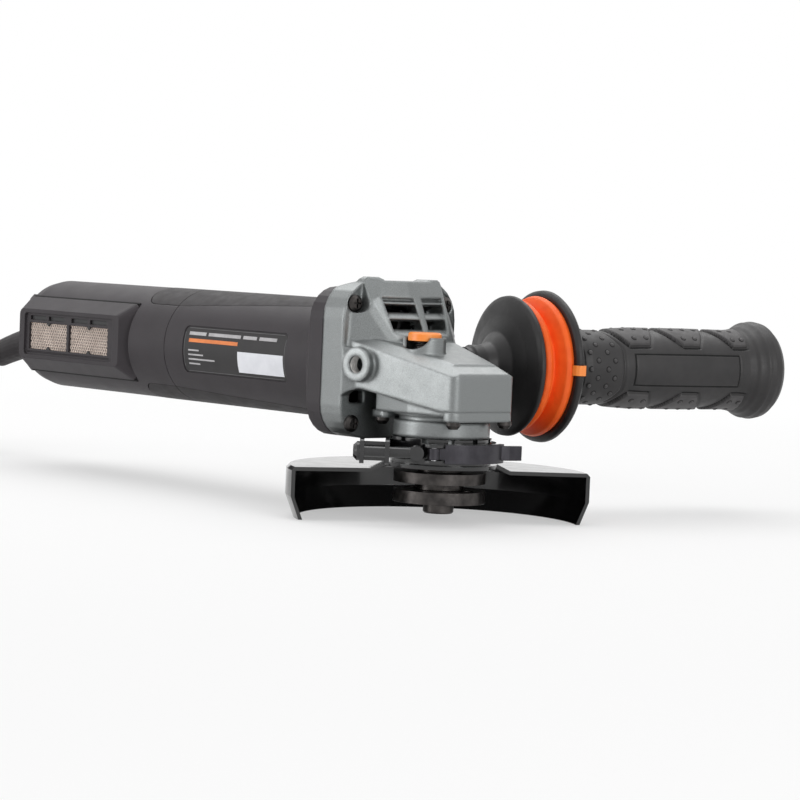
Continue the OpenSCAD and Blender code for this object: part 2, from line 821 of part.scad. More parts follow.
module air_baffle() {
    color("#2f2f31") m() difference() {
        xcyl(-57.5, -55, 29.5);
        xcyl(-60, -50, 21);
    }
}

// ---------- spindle lock ----------

module lock_button() {
    color(orange) m() translate([lock_x, lock_y, 0]) {
        zcyl(12, 15, 7.6);
        zcyl(15 - eps, 15.8, 7.6, 6.8);
    }
}

module lock_pin() {
    color(steel) m() translate([lock_x, lock_y, 0]) zcyl(-7.2, 12, 2.5);
}

module lock_spring() {
    // closed sleeve of the coil spring between the cup floor and the cap
    color("#b8b8b8") m() translate([lock_x, lock_y, 0]) ztube(cup_z, 12, 4.6, 3.4);
}

// ---------- guard and its clamp ----------

// Frame of the clamp: local X faces outwards between nose and left side
clamp_dir = -41;

module clamp_frame() {
    m() rotate([0, 0, clamp_dir]) children();
}

// Heights of the guard's raised centre and of its flat top, and the cone between them
guard_hub_z = -43;
guard_top_z = -46.2;
guard_cone_r = 32.8;

module guard_shell() {
    color(black) m() {
        // sheet with its raised centre, skirt and folded lip
        rotate_extrude(angle = guard_arc, start = guard_dir - guard_arc / 2, $fn = 120)
            polygon([[24, guard_hub_z], [26, guard_hub_z], [guard_cone_r, guard_top_z],
                [guard_r - 1.5, guard_top_z], [guard_r, guard_top_z - 1.5],
                [guard_r, -59.5], [guard_r - 4, -70], [guard_r - 4 - guard_t, -70],
                [guard_r - guard_t, -60], [guard_r - guard_t, guard_top_z - guard_t],
                [guard_cone_r - 0.4, guard_top_z - guard_t], [25.6, guard_hub_z - guard_t],
                [24, guard_hub_z - guard_t]]);
        ztube(guard_hub_z - guard_t, guard_hub_z, 25.9, 20);
    }
}

module guard_collar() {
    color(black) m() difference() {
        ztube(guard_hub_z, -31.3, 23, 19.55);
        for (a = [0:30:330]) rotate([0, 0, a]) block([15, -1.5, -33.2], [30, 1.5, -30]);
    }
}

clamp_z0 = -41.5;
clamp_z1 = -33;
screw_d = 29;
screw_z = -37.2;

module clamp_band() {
    color("#26262a") clamp_frame() {
        rotate_extrude(angle = 280, start = -8, $fn = 96) polygon([[23.05, clamp_z0],
            [25.2, clamp_z0], [25.2, clamp_z1], [23.05, clamp_z1]]);
        // folded box at the free end, which the screw passes
        difference() {
            union() {
                block([0, -25.2, clamp_z0], [26, -23.2, clamp_z1]);
                block([24, -36.5, clamp_z0], [26, -23.2, clamp_z1]);
                for (u = [-36.5, -25.2]) prism_y(u, u + 2)
                    polygon(round_box(24, -42.6, 33.5, -31.6, 2.6, 4));
            }
            translate([screw_d, 0, screw_z]) rotate([90, 0, 0]) cylinder(h = 60, r = 2.6);
        }
        // two lugs that hold the lever pin
        difference() {
            for (z = [clamp_z0, clamp_z1 - 1.4])
                prism_z(z, z + 1.4) polygon([[23.6, -7.5], [31, -7.5], [32.6, -5.5], [32.6, -1.5],
                    [31, 0.5], [25.1, 0.5], [24.6, -2.5]]);
            translate([29.5, -3.5, 0]) zcyl(-45, -30, 1.5);
        }
    }
}

module clamp_screw() {
    color("#2c2b2c") clamp_frame() translate([screw_d, 0, screw_z]) rotate([90, 0, 0]) {
        zcyl(8.5, 36.6, 2.5);
        zcyl(36.5, 37.7, 4.3);
        zcyl(37.7 - eps, 39.4, 4.3, 2.6);
    }
}

module clamp_barrel() {
    color("#3a393a") clamp_frame() difference() {
        translate([25.4, -11.2, screw_z]) rotate([0, 90, 0]) cylinder(h = 7, r = 3.3);
        translate([screw_d, 0, screw_z]) rotate([90, 0, 0]) cylinder(h = 60, r = 2.5);
    }
}

module lever_pin() {
    color(steel) clamp_frame() translate([29.5, -3.5, 0]) zcyl(clamp_z0, clamp_z1, 1.5);
}

module clamp_lever() {
    color("#3c3b40") clamp_frame() difference() {
        union() {
            translate([29.5, -3.5, 0]) zcyl(clamp_z0 + 1.7, clamp_z1 - 1.7, 2.7);
            rotate_extrude(angle = 78, start = -4, $fn = 96)
                polygon([[27.4, clamp_z0 + 1.7], [29.6, clamp_z0 + 1.7], [29.6, clamp_z1 - 1.7],
                    [27.4, clamp_z1 - 1.7]]);
            rotate_extrude(angle = 71, start = 3, $fn = 96)
                polygon([[27.4, clamp_z0], [29.6, clamp_z0], [29.6, clamp_z1], [27.4, clamp_z1]]);
            // thumb tab
            prism_z(clamp_z0 + 1.2, clamp_z1 - 0.8)
                polygon([[10, 25.4], [11.5, 27.3], [10.5, 31], [7, 36.6], [4.8, 36.2], [7.4, 30.5]]);
        }
        translate([29.5, -3.5, 0]) zcyl(-45, -30, 1.56);
    }
}

// ---------- side handle ----------

module handle_frame() {
    m() socket_frame(1) children();
}

module handle_stud() {
    color(steel) handle_frame() {
        zcyl(-13.5, 70, stud_r);
    }
}

module handle_disc() {
    color(rubber) handle_frame() rotate_extrude($fn = 96) polygon([[stud_r + 0.02, 0], [8.5, 0], [8.5, 2.4],
        [9.6, 3.4], [9.6, 9], [11, 13], [16, 17.5], [24, 20.4], [31, 22.4], [33, 23.4], [33.2, 24.6],
        [32.6, 25.6], [30, 26], [12, 26], [12, 30], [stud_r + 0.02, 30]]);
}

module handle_bellows() {
    color(orange) handle_frame() rotate_extrude($fn = 96) polygon([[12, 26], [28, 26], [30.6, 27.6],
        [31.2, 29.6], [29.5, 31.6], [26.4, 33], [26.4, 34.2], [29, 35.2], [32.6, 37], [33.4, 39],
        [32.4, 41], [12, 41]]);
}

module handle_core() {
    color(rubber) handle_frame() difference() {
        rotate_extrude($fn = 96) polygon([[stud_r + 0.02, 30], [12, 30], [12, 41],
            [34.6, 41], [36, 42], [36.2, 43.6], [35.2, 45], [31, 46], [24, 48.6], [18.5, 53],
            [16.8, 58], [15, 58], [15, 165], [8, 165], [8, 70], [stud_r + 0.02, 70]]);
        tab_block(0);
    }
}

// Small orange tab let into the rim of the hand guard, on the nose side
module tab_block(gap) {
    block([33, gap - 2.4, 42.4 + gap], [37, 2.4 - gap, 48.6]);
}

module handle_tab() {
    color(orange) handle_frame() tab_block(0.02);
}

module handle_grip() {
    color(rubber) handle_frame() difference() {
        rotate_extrude($fn = 96) polygon([[15, 58], [17.2, 58], [17.6, 70], [18.4, 88], [grip_r, 92],
            [grip_r + 0.4, 124], [grip_r, 150], [19.6, 156], [22, 160.5], [23.8, 164.5], [24.2, 168],
            [23.4, 171.5], [21, 174.6], [16, 176.8], [8, 178], [0, 178], [0, 165], [15, 165]]);
    }
}

// ---------- controls and electrics ----------

module controller_module() {
    color("#26282a") m() union() {
        block([-280, -18, -12], [-216, 18, 12]);
        for (i = [0:7]) block([-278 + i * 8, -12, 12 - eps], [-275 + i * 8, 12, 16]);
    }
}

module power_switch() {
    color("#1f1f21") m() block([-200, 6, -9], [-171, 21.4, 9]);
}

module switch_slider() {
    color(black) m() {
        intersection() {
            xtube(-118, -80, 31.4, 28.5);
            prism_y(20, 40) polygon(round_box(-118, -8, -80, 8, 3, 4));
        }
        for (i = [0:4]) intersection() {
            xtube(-106 + i * 4, -104.4 + i * 4, 32.2, 29);
            block([-120, 20, -6.5], [-78, 40, 6.5]);
        }
        block([-104.5, 24.4, -3], [-95.5, 30, 3]);
    }
}

module switch_rod() {
    color("#d8d8d8") m() block([-190, 22.8, -4], [-94, 24.4, 4]);
}

module speed_dial() {
    color(black) m() translate([rear_x + 6.5, 0, 16.5]) rotate([90, 0, 0]) difference() {
        union() {
            cylinder(h = 5, r = 7.2, center = true);
            for (a = [0:15:345]) rotate([0, 0, a]) translate([7.2, 0, 0])
                cylinder(h = 5, r = 0.45, center = true, $fn = 8);
        }
        cylinder(h = 8, r = 2.05, center = true);
    }
}

module speed_potentiometer() {
    color("#3d6b8a") m() {
        translate([rear_x + 6.5, 0, 16.5]) rotate([90, 0, 0]) translate([0, 0, -7.5])
            cylinder(h = 10.5, r = 2);
        block([rear_x + 3, 3.2, 10], [rear_x + 14, 8, 22]);
    }
}

module cord_clamp() {
    color("#2f2f31") m() difference() {
        block([-300, -14, -14], [-292, 14, -2.5]);
        translate([0, 0, -2.5]) xcyl(-305, -280, 5);
    }
}

// ---------- cord ----------

// Bend protector: rings of falling radius on a line that droops to the rear
relief_len = 60;
relief_n = 14;
function relief_point(s) = [rear_x - 1.2 - s, 0, motor_z - 2.5 - 0.12 * s - 0.0018 * s * s];

// Sweeps a round section along points, with given radii, closed at both ends
function unit(v) = v / norm(v);
function tangent(p, i) = unit(p[min(i + 1, len(p) - 1)] - p[max(i - 1, 0)]);
module sweep(p, radii, sides) {
    n = len(p);
    rings = [for (i = [0:n - 1]) let (t = tangent(p, i), u = unit(cross(t, [0, 0, 1])),
        v = cross(u, t)) for (k = [0:sides - 1])
            p[i] + radii[i] * (u * cos(360 * k / sides) + v * sin(360 * k / sides))];
    polyhedron(points = rings, faces = concat(
        [for (i = [0:n - 2], k = [0:sides - 1]) [i * sides + k, i * sides + (k + 1) % sides,
            (i + 1) * sides + (k + 1) % sides, (i + 1) * sides + k]],
        [[for (k = [0:sides - 1]) sides - 1 - k]],
        [[for (k = [0:sides - 1]) (n - 1) * sides + k]]), convexity = 6);
}

module strain_relief() {
    color("#2d2c2e") {
        sweep([for (i = [0:relief_n]) relief_point(relief_len * i / relief_n)],
            [for (i = [0:relief_n]) 8.6 - 1.6 * i / relief_n - (i == relief_n ? 1.2 : 0)], 24);
        // neck and collar held between the rear covers
        m() translate([0, 0, -2.5]) {
            xcyl(rear_x - 3, rear_x + 4, 7.4);
            xcyl(rear_x + 3.1, rear_x + 10, 8.4);
            xcyl(rear_x + 9, rear_x + 24, 5);
        }
    }
}

coil_c = [-432, -68];
coil_r = 46;
coil_half = 14;
floor_z = motor_z - 70;

// Route of the cord from the bend protector down to the coil
cord_route = [[-373, 0, 49.5], [-384, 0, 46.3], [-395, -0.3, 41.6], [-406, -1, 35.2],
    [-418, -2.3, 27], [-431, -4, 17.5], [-445, -5.5, 9], [-458, -9.6, 2.8], [-470, -16.6, 0],
    [-480, -25.8, -0.5], [-488, -38, -0.5]];

// Catmull-Rom curve through the route, a few steps a span
function spline_point(p, i, t) = let (a = p[max(i - 1, 0)], b = p[i], c = p[i + 1],
    d = p[min(i + 2, len(p) - 1)])
    0.5 * (2 * b + (c - a) * t + (2 * a - 5 * b + 4 * c - d) * t * t
        + (3 * b - a - 3 * c + d) * t * t * t);
function spline(p, steps) = concat([for (i = [0:len(p) - 2], s = [0:steps - 1])
    spline_point(p, i, s / steps)], [p[len(p) - 1]]);

module cord_run() {
    path = spline(cord_route, 1);
    color(black) sweep(path, [for (q = path) cord_d / 2], 10);
}

module cord_coil() {
    color(black) translate([coil_c[0], coil_c[1], floor_z]) rotate_extrude($fn = 96)
        polygon(round_box(coil_r - coil_half, 0, coil_r + coil_half, 24, 4, 3));
}

// Last stretch of cord: up from the inner turn, over the coil and into the plug
module cord_tail() {
    path = [for (a = [70:12:190]) let (u = max(0, min(1, (a - 70) / 36)), r = coil_r - 8 + 8 * u)
        [coil_c[0] + r * cos(a), coil_c[1] + r * sin(a),
            floor_z + 28 + 7.4 * pow((a - 70) / 120, 2)]];
    color(black) sweep(path, [for (q = path) cord_d / 2], 10);
}

module cord_tie() {
    color("#2a2a2c") translate([coil_c[0], coil_c[1], floor_z]) rotate([0, 0, -60]) difference() {
        block([coil_r - coil_half - 2.4, -6, 0], [coil_r + coil_half + 1.6, 6, 25.6]);
        block([coil_r - coil_half - 0.8, -7, -1], [coil_r + coil_half, 7, 24]);
    }
}

// Round two-pin mains plug that lies on the coil
module plug_frame() {
    translate([coil_c[0], coil_c[1], floor_z]) rotate([0, 0, 190]) translate([coil_r, 0, 35.4])
        rotate([-90, 0, 0]) children();
}

module plug_body() {
    color(black) plug_frame() {
        zcyl(0, 14, 4.6, 6);
        hull() {
            zcyl(13, 15, 7);
            scale([1, 0.62, 1]) zcyl(26, 40, 18);
        }
    }
}

module plug_pins() {
    color("#c8c8c4") plug_frame() for (s = [-1, 1]) translate([s * 9.5, 0, 0]) zcyl(40, 59, 2.4);
}

motor_housing();
motor_soft_grips();
rear_cover_left();
rear_cover_right();
rear_soft_grips();
filter_cover_left();
filter_cover_right();
filter_mesh_left();
filter_mesh_right();
rear_cover_screws();
gear_housing();
gear_housing_screws();
bearing_cap();
bearing_cap_screws();
spindle_bearing();
spindle_bush();
spindle();
bevel_gear();
inner_flange();
flange_nut();
rotor_shaft();
rotor_magnets();
cooling_fan();
pinion();
front_bearing();
rear_bearing();
bearing_bracket();
stator_core();
stator_windings();
air_baffle();
lock_button();
lock_pin();
lock_spring();
guard_shell();
guard_collar();
clamp_band();
clamp_screw();
clamp_barrel();
clamp_lever();
lever_pin();
handle_stud();
handle_disc();
handle_bellows();
handle_core();
handle_tab();
handle_grip();
controller_module();
power_switch();
switch_slider();
switch_rod();
speed_dial();
speed_potentiometer();
cord_clamp();
strain_relief();
cord_run();
cord_coil();
cord_tail();
cord_tie();
plug_body();
plug_pins();
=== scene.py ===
# %% [markdown]
# # An angle grinder, dressed on its imported frame
#
# The CAD model already holds every solid of the tool at its real size and place.
# This lesson gives each of them the finish of the real thing, and adds what is too fine
# or too soft for CAD: the cord in its coil, the soft pads of the handle, the wire mesh in
# the air windows, a type plate without letters, screw threads, a spring, trim, and dark cords and rings
# of painted shade.
# Loading the frame first means that nothing has to be fitted by eye: a node's corners
# and the record say where each piece goes.

# %% Load the frame
import math
import bmesh
import bpy
from mathutils import Matrix, Vector


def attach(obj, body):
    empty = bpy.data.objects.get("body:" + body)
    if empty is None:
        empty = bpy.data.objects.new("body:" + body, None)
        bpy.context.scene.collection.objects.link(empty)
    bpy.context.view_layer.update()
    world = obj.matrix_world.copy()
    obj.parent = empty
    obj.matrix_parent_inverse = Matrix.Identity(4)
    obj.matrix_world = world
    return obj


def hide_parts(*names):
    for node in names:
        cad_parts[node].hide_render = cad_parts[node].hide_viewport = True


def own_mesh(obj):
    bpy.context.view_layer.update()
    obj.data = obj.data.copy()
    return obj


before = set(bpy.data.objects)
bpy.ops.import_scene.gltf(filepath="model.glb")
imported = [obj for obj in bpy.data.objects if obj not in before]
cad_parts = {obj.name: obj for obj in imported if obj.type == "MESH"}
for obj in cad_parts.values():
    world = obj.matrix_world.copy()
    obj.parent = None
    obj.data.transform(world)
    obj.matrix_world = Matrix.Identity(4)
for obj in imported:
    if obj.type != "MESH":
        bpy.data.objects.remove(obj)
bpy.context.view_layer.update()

# %% [markdown]
# ## Units and places
#
# The frame is in metres, but a tool like this is thought of in millimetres.
# One helper turns millimetres into a vector in metres. The motor axis lies
# level, 65.5 mm over the end of the spindle thread, and most sizes are measured from it.
# The tool stands on a surface a little lower than that end.

# %% Millimetres, the motor axis and the ground
MM = 0.001
motor_z = 65.5
ground_z = -4.5


def at(x, y, z):
    """A point given in millimetres, as a vector in metres."""
    return Vector((x, y, z)) * MM


print("motor axis at", motor_z, "mm over the spindle's end, ground at", ground_z, "mm")

# %% [markdown]
# ## Camera
#
# The tool is seen half from its nose and half from its left side, almost level, with a long
# lens, so that the parts keep their proportions. The camera's place is built from three
# angles, a distance and a small shift across the view instead of a target, because then
# the turn about its own axis is plain to read.

# %% Place the camera
view_azimuth = math.radians(48.94)
view_rise = math.radians(3.22)
view_roll = math.radians(2.44)
view_distance = 1.25
shift_right, shift_up = -0.02011, -0.01461
lens_mm = 123.75

toward = Vector((math.sin(view_azimuth) * math.cos(view_rise),
                 -math.cos(view_azimuth) * math.cos(view_rise), math.sin(view_rise)))
level = Vector((math.cos(view_azimuth), math.sin(view_azimuth), 0))
upward = toward.cross(level)
right = level * math.cos(view_roll) + upward * math.sin(view_roll)
up = upward * math.cos(view_roll) - level * math.sin(view_roll)

camera = bpy.data.objects.new("camera", bpy.data.cameras.new("camera"))
bpy.context.collection.objects.link(camera)
camera.matrix_world = Matrix.Translation(
    toward * view_distance + right * shift_right + up * shift_up + at(0, 0, motor_z)
) @ Matrix((right, up, toward)).transposed().to_4x4()
camera.data.lens = lens_mm
camera.data.clip_end = 50
bpy.context.scene.camera = camera
bpy.context.scene.view_settings.view_transform = "Standard"
print("camera at", [round(v, 3) for v in camera.location])

# %% [markdown]
# ## The mains cord
#
# A grinder's cord is a rubber hose about 8 mm thick and a few metres long. It leaves the
# rear through a tapered sleeve, sags under its own weight and is stored in a neat round coil
# beside the tool. A curve of one open line with a round bevel is the plain way to make it:
# its length can be measured, and no bend can pinch it. The route is laid point by point,
# and the coil is wound by a rule: three laps side by side, three layers high, with the
# step from lap to lap always in the same place. The last stretch climbs to the plug, which
# lies on top of the coil.

# %% The route from the sleeve down to the coil
cord_d = 8.0
cord_floor = ground_z + cord_d / 2
sleeve_end = (-373, 0, 49.5)
run = [sleeve_end, (-384, 0, 46.3), (-395, -0.3, 41.6), (-406, -1, 35.2), (-418, -2.3, 27),
       (-431, -4, 17.5), (-445, -5.5, 9), (-458, -9.6, 2.8), (-470, -16.6, 0), (-480, -25.8, -0.5),
       (-488, -38, -0.5)]


def smooth_route(points, steps):
    """Catmull-Rom curve through given points."""
    path = []
    for i in range(len(points) - 1):
        a, b, c, d = (Vector(points[max(0, min(k, len(points) - 1))]) for k in range(i - 1, i + 3))
        for s in range(steps):
            t = s / steps
            path.append(0.5 * (2 * b + (c - a) * t + (2 * a - 5 * b + 4 * c - d) * t * t
                               + (3 * b - a - 3 * c + d) * t ** 3))
    return path + [Vector(points[-1])]


free_run = smooth_route(run, 2)
print("points from sleeve to floor:", len(free_run))

# %% Winding the coil
coil_x, coil_y = -432.0, -68.0
lap_radii = [64, 55.5, 46, 36.5, 36.5, 46, 55.5, 55.5, 46, 36.5]
lap_layers = [0, 0, 0, 1, 1, 1, 2, 2, 2, 2]
laps = len(lap_radii) - 1
coil_start = 165  # degrees, where each lap begins
step_over = 50  # degrees that a step to the next lap or layer takes
layer_step = 305  # degrees into a lap where the step up to the next layer begins


def ease(t):
    """Smooth step from 0 to 1."""
    t = max(0.0, min(1.0, t))
    return t * t * (3 - 2 * t)


def on_coil(angle, radius, height):
    """Point over the floor at an angle in degrees round the coil's middle."""
    a = math.radians(angle)
    return Vector((coil_x + radius * math.cos(a), coil_y + radius * math.sin(a),
                   cord_floor + height))


def wound_point(angle):
    """Point of the winding; the angle counts on from lap to lap, from coil_start."""
    lap = int((angle - coil_start) // 360)
    part = angle - coil_start - 360 * lap
    radius = lap_radii[lap] + (lap_radii[lap + 1] - lap_radii[lap]) * ease(part / step_over)
    climb = ease((part - layer_step) / step_over)
    layer = lap_layers[lap] + (lap_layers[lap + 1] - lap_layers[lap]) * climb
    return on_coil(angle, radius, cord_d * layer)


def tail_point(angle):
    """Point of the last stretch: up onto the coil, then out and up to the plug."""
    onto_coil = cord_d * ease((angle - tail_start) / 45)
    to_plug = 7.4 * (max(0, angle - climb_start) / 120) ** 2
    return on_coil(angle, lap_radii[-1] + 9.5 * ease((angle - climb_start) / 36),
                   2 * cord_d + onto_coil + to_plug)


tail_start, climb_start = 25, 70
wound = [wound_point(a) for a in range(coil_start, laps * 360 + 20, 15)]
tail = [tail_point(a) for a in range(tail_start, 191, 11)]
cord_path = [p * MM for p in free_run + wound + tail]

# %% The cord as a round curve
line = bpy.data.curves.new("mains_cord", "CURVE")
line.dimensions = "3D"
line.bevel_depth = 1  # times the radius of each point, so that the curve's box fits the cord
line.bevel_resolution = 3
line.use_fill_caps = True
spline = line.splines.new("POLY")
spline.points.add(len(cord_path) - 1)
for point, place in zip(spline.points, cord_path):
    point.co = (*place, 1)
    point.radius = cord_d / 2 * MM
mains_cord = bpy.data.objects.new("mains_cord", line)
bpy.context.collection.objects.link(mains_cord)
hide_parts("cord_run", "cord_coil", "cord_tail")
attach(mains_cord, "housing")
print("cord points:", len(spline.points))

# %% [markdown]
# ## Finishes
#
# Every finish is a Principled shader with three kinds of detail: the colour drifts a
# little over the piece, the surface has the grain of its mould or its tool, and edges are
# rounded as real ones are. Plain numbers that hold all over a piece, such as metallic or
# coat, stay on the shader itself. All patterns read Object coordinates, because each
# object's own frame stays with it when its body moves.

# %% A plain shader to start from
def new_finish(name, base, roughness, metallic=0.0, coat=0.0, specular=0.5):
    """A material with one Principled shader; returns material, tree and shader."""
    mat = bpy.data.materials.new(name)
    mat.use_nodes = True
    mat.diffuse_color = (*base, 1)
    tree = mat.node_tree
    shader = tree.nodes["Principled BSDF"]
    for name, value in (("Base Color", (*base, 1)), ("Roughness", roughness), ("Metallic", metallic),
                        ("Coat Weight", coat), ("Specular IOR Level", specular)):
        shader.inputs[name].default_value = value
    return mat, tree, shader


def object_place(tree):
    """Object coordinates of the piece."""
    return tree.nodes.new("ShaderNodeTexCoord").outputs["Object"]


def noise_field(tree, size_mm, detail, stretch):
    """Noise with features of a size, drawn out along the axes by stretch."""
    place = tree.nodes.new("ShaderNodeMapping")
    place.inputs["Scale"].default_value = tuple(1000 / size_mm / s for s in stretch)
    tree.links.new(object_place(tree), place.inputs["Vector"])
    field = tree.nodes.new("ShaderNodeTexNoise")
    field.inputs["Scale"].default_value = 1.0
    field.inputs["Detail"].default_value = detail
    tree.links.new(place.outputs["Vector"], field.inputs["Vector"])
    return field.outputs["Fac"]


def map_range(tree, value, from_min, from_max, to_min, to_max):
    """Carries a value over from one range to another; returns the node."""
    span = tree.nodes.new("ShaderNodeMapRange")
    for name, end in (("From Min", from_min), ("From Max", from_max),
                      ("To Min", to_min), ("To Max", to_max)):
        span.inputs[name].default_value = end
    tree.links.new(value, span.inputs["Value"])
    return span


print("finish helpers ready")

# %% Colour drift, roughness drift, grain and rounded edges
def drift_colour(tree, shader, first, second, size_mm, stretch=(1, 1, 1), low=0.35, high=0.65):
    """Colour that wanders between two tones."""
    ramp = tree.nodes.new("ShaderNodeValToRGB")
    ramp.color_ramp.elements[0].position = low
    ramp.color_ramp.elements[1].position = high
    ramp.color_ramp.elements[0].color = (*first, 1)
    ramp.color_ramp.elements[1].color = (*second, 1)
    tree.links.new(noise_field(tree, size_mm, 3.0, stretch), ramp.inputs["Fac"])
    tree.links.new(ramp.outputs["Color"], shader.inputs["Base Color"])


def drift_roughness(tree, shader, low, high, size_mm):
    """Roughness that wanders between two values."""
    span = map_range(tree, noise_field(tree, size_mm, 3.0, (1, 1, 1)), 0.3, 0.7, low, high)
    tree.links.new(span.outputs["Result"], shader.inputs["Roughness"])


def grain(tree, shader, size_mm, height_mm, edge_mm=0.0, stretch=(1, 1, 1)):
    """Raised grain on top of edges rounded by edge_mm."""
    bump = tree.nodes.new("ShaderNodeBump")
    bump.inputs["Strength"].default_value = 1.0
    bump.inputs["Distance"].default_value = height_mm * MM
    tree.links.new(noise_field(tree, size_mm, 2.0, stretch), bump.inputs["Height"])
    if edge_mm:
        rounding = tree.nodes.new("ShaderNodeBevel")
        rounding.samples = 6
        rounding.inputs["Radius"].default_value = edge_mm * MM
        tree.links.new(rounding.outputs["Normal"], bump.inputs["Normal"])
    tree.links.new(bump.outputs["Normal"], shader.inputs["Normal"])


print("detail helpers ready")

# %% [markdown]
# ### Plastics and rubbers
#
# The barrel and the rear housing are glass-filled nylon. Their moulds are spark eroded,
# which leaves an even, fine, matt grain and a warm dark grey. The inlays and the sleeve of
# the cord are of softer rubber-like stock, which is a little darker and scatters light
# more. Small noise gives the grain, and a larger one the slow change of tone that
# handling leaves.

# %% Housing plastic and soft inlays
nylon, tree, shader = new_finish("warm_grey_nylon", (0.0285, 0.0242, 0.0275), 0.5, specular=0.3)
drift_colour(tree, shader, (0.0268, 0.0228, 0.0258), (0.0302, 0.0256, 0.0292), 14)
drift_roughness(tree, shader, 0.49, 0.54, 12)
grain(tree, shader, 0.35, 0.035, 0.5)

inlay, tree, shader = new_finish("soft_inlay", (0.026, 0.0235, 0.025), 0.6, specular=0.28)
drift_colour(tree, shader, (0.023, 0.0205, 0.022), (0.03, 0.027, 0.0285), 14)
drift_roughness(tree, shader, 0.56, 0.68, 5)
grain(tree, shader, 0.5, 0.045, 0.4)

inner_plastic, tree, shader = new_finish("plain_black_moulding", (0.011, 0.011, 0.012), 0.5)
drift_colour(tree, shader, (0.009, 0.009, 0.01), (0.014, 0.014, 0.015), 10)
grain(tree, shader, 0.6, 0.02, 0.2)
print("plastics:", nylon.name, inlay.name, inner_plastic.name)

# %% Handle rubber, orange damper, cord sheath and strap
grip_rubber, tree, shader = new_finish("handle_rubber", (0.02, 0.019, 0.0195), 0.42, specular=0.42)
drift_colour(tree, shader, (0.017, 0.016, 0.0165), (0.024, 0.0225, 0.023), 12)
drift_roughness(tree, shader, 0.44, 0.56, 4)
grain(tree, shader, 0.4, 0.03, 0.3)

pad_rubber, tree, shader = new_finish("handle_pad_rubber", (0.052, 0.049, 0.05), 0.56, specular=0.4)
drift_colour(tree, shader, (0.046, 0.0435, 0.0445), (0.058, 0.055, 0.056), 9)
drift_roughness(tree, shader, 0.5, 0.62, 4)
grain(tree, shader, 0.45, 0.035, 0.3)

# near-black rubber that paints shade: in the grip's grooves, round the foot of each stud and in the gaps
# round the side covers
shadow_rubber, tree, shader = new_finish("painted_shade_rubber", (0.009, 0.009, 0.009), 0.7, specular=0.2)
drift_colour(tree, shader, (0.007, 0.007, 0.007), (0.012, 0.012, 0.012), 3)
grain(tree, shader, 0.4, 0.02)

disc_rubber, tree, shader = new_finish("hand_guard_rubber", (0.015, 0.0145, 0.015), 0.46, specular=0.36)
drift_colour(tree, shader, (0.0125, 0.012, 0.0125), (0.019, 0.018, 0.0185), 14)
drift_roughness(tree, shader, 0.4, 0.52, 6)
grain(tree, shader, 0.5, 0.03, 1.6)

damper_rubber, tree, shader = new_finish("orange_damper", (0.93, 0.125, 0.014), 0.5, specular=0.28)
drift_colour(tree, shader, (0.88, 0.11, 0.011), (0.97, 0.14, 0.018), 9)
grain(tree, shader, 0.6, 0.02, 1.4)

orange_plastic, tree, shader = new_finish("orange_plastic", (1.0, 0.3, 0.05), 0.32)
drift_colour(tree, shader, (0.96, 0.27, 0.04), (1.0, 0.32, 0.06), 6)
grain(tree, shader, 0.8, 0.015, 0.4)

sheath, tree, shader = new_finish("cord_sheath", (0.125, 0.122, 0.129), 0.5)
drift_colour(tree, shader, (0.115, 0.112, 0.119), (0.135, 0.132, 0.139), 15)
grain(tree, shader, 0.5, 0.03)
mains_cord.data.materials.append(sheath)

strap, tree, shader = new_finish("woven_strap", (0.02, 0.02, 0.021), 0.85)
drift_colour(tree, shader, (0.012, 0.012, 0.013), (0.035, 0.035, 0.037), 0.7, (1, 1, 2))
grain(tree, shader, 0.5, 0.15, 0.3, (1, 1, 2))
print("rubbers:", grip_rubber.name, damper_rubber.name, sheath.name)

# %% Dust fleece, printed film and sticker
dust_fleece, tree, shader = new_finish("dust_fleece", (0.17, 0.145, 0.13), 0.9)
drift_colour(tree, shader, (0.12, 0.1, 0.09), (0.21, 0.18, 0.16), 1.2)
grain(tree, shader, 0.6, 0.12)

film_print, tree, shader = new_finish("plate_film", (0.02, 0.0185, 0.0195), 0.42, specular=0.3)
drift_colour(tree, shader, (0.018, 0.0168, 0.0175), (0.022, 0.0205, 0.0215), 10)
grain(tree, shader, 0.3, 0.01)

# pale grey that paints the highlight on the rim of the type plate's field
rim_highlight_print, tree, shader = new_finish("painted_rim_highlight", (0.1, 0.095, 0.1), 0.4)
drift_colour(tree, shader, (0.09, 0.085, 0.09), (0.11, 0.105, 0.11), 8)
grain(tree, shader, 0.3, 0.01)

pale_print, tree, shader = new_finish("pale_print", (0.42, 0.41, 0.42), 0.45)
drift_colour(tree, shader, (0.38, 0.37, 0.38), (0.46, 0.45, 0.46), 5)
grain(tree, shader, 0.3, 0.01)

orange_print, tree, shader = new_finish("orange_print", (0.72, 0.2, 0.045), 0.45)
drift_colour(tree, shader, (0.66, 0.18, 0.04), (0.78, 0.22, 0.05), 5)
grain(tree, shader, 0.3, 0.01)

sticker_paper, tree, shader = new_finish("sticker_paper", (0.72, 0.73, 0.77), 0.5)
drift_colour(tree, shader, (0.69, 0.7, 0.74), (0.75, 0.76, 0.8), 7)
grain(tree, shader, 0.25, 0.008)
print("prints:", film_print.name, pale_print.name, orange_print.name, sticker_paper.name)

# %% [markdown]
# ### Metals
#
# The gear head is a pressure die casting under a thin metallic grey paint: tiny flakes in
# a clear binder, so that lit faces go bright and turned faces fall off fast. A coarse
# ripple of the paint lies over soft cast edges. Machined pieces are burnished dark by oil
# and heat, with turning marks that run round them. The guard is pressed from sheet
# and dipped in gloss black enamel.

# %% Paint of the gear head
cast_paint, tree, shader = new_finish("metallic_grey_paint", (0.21, 0.222, 0.222), 0.38,
                                      metallic=0.85, coat=0.1)
drift_colour(tree, shader, (0.165, 0.175, 0.175), (0.255, 0.268, 0.268), 0.35, low=0.32, high=0.7)
drift_roughness(tree, shader, 0.34, 0.42, 5)
grain(tree, shader, 0.9, 0.02, 2.0)

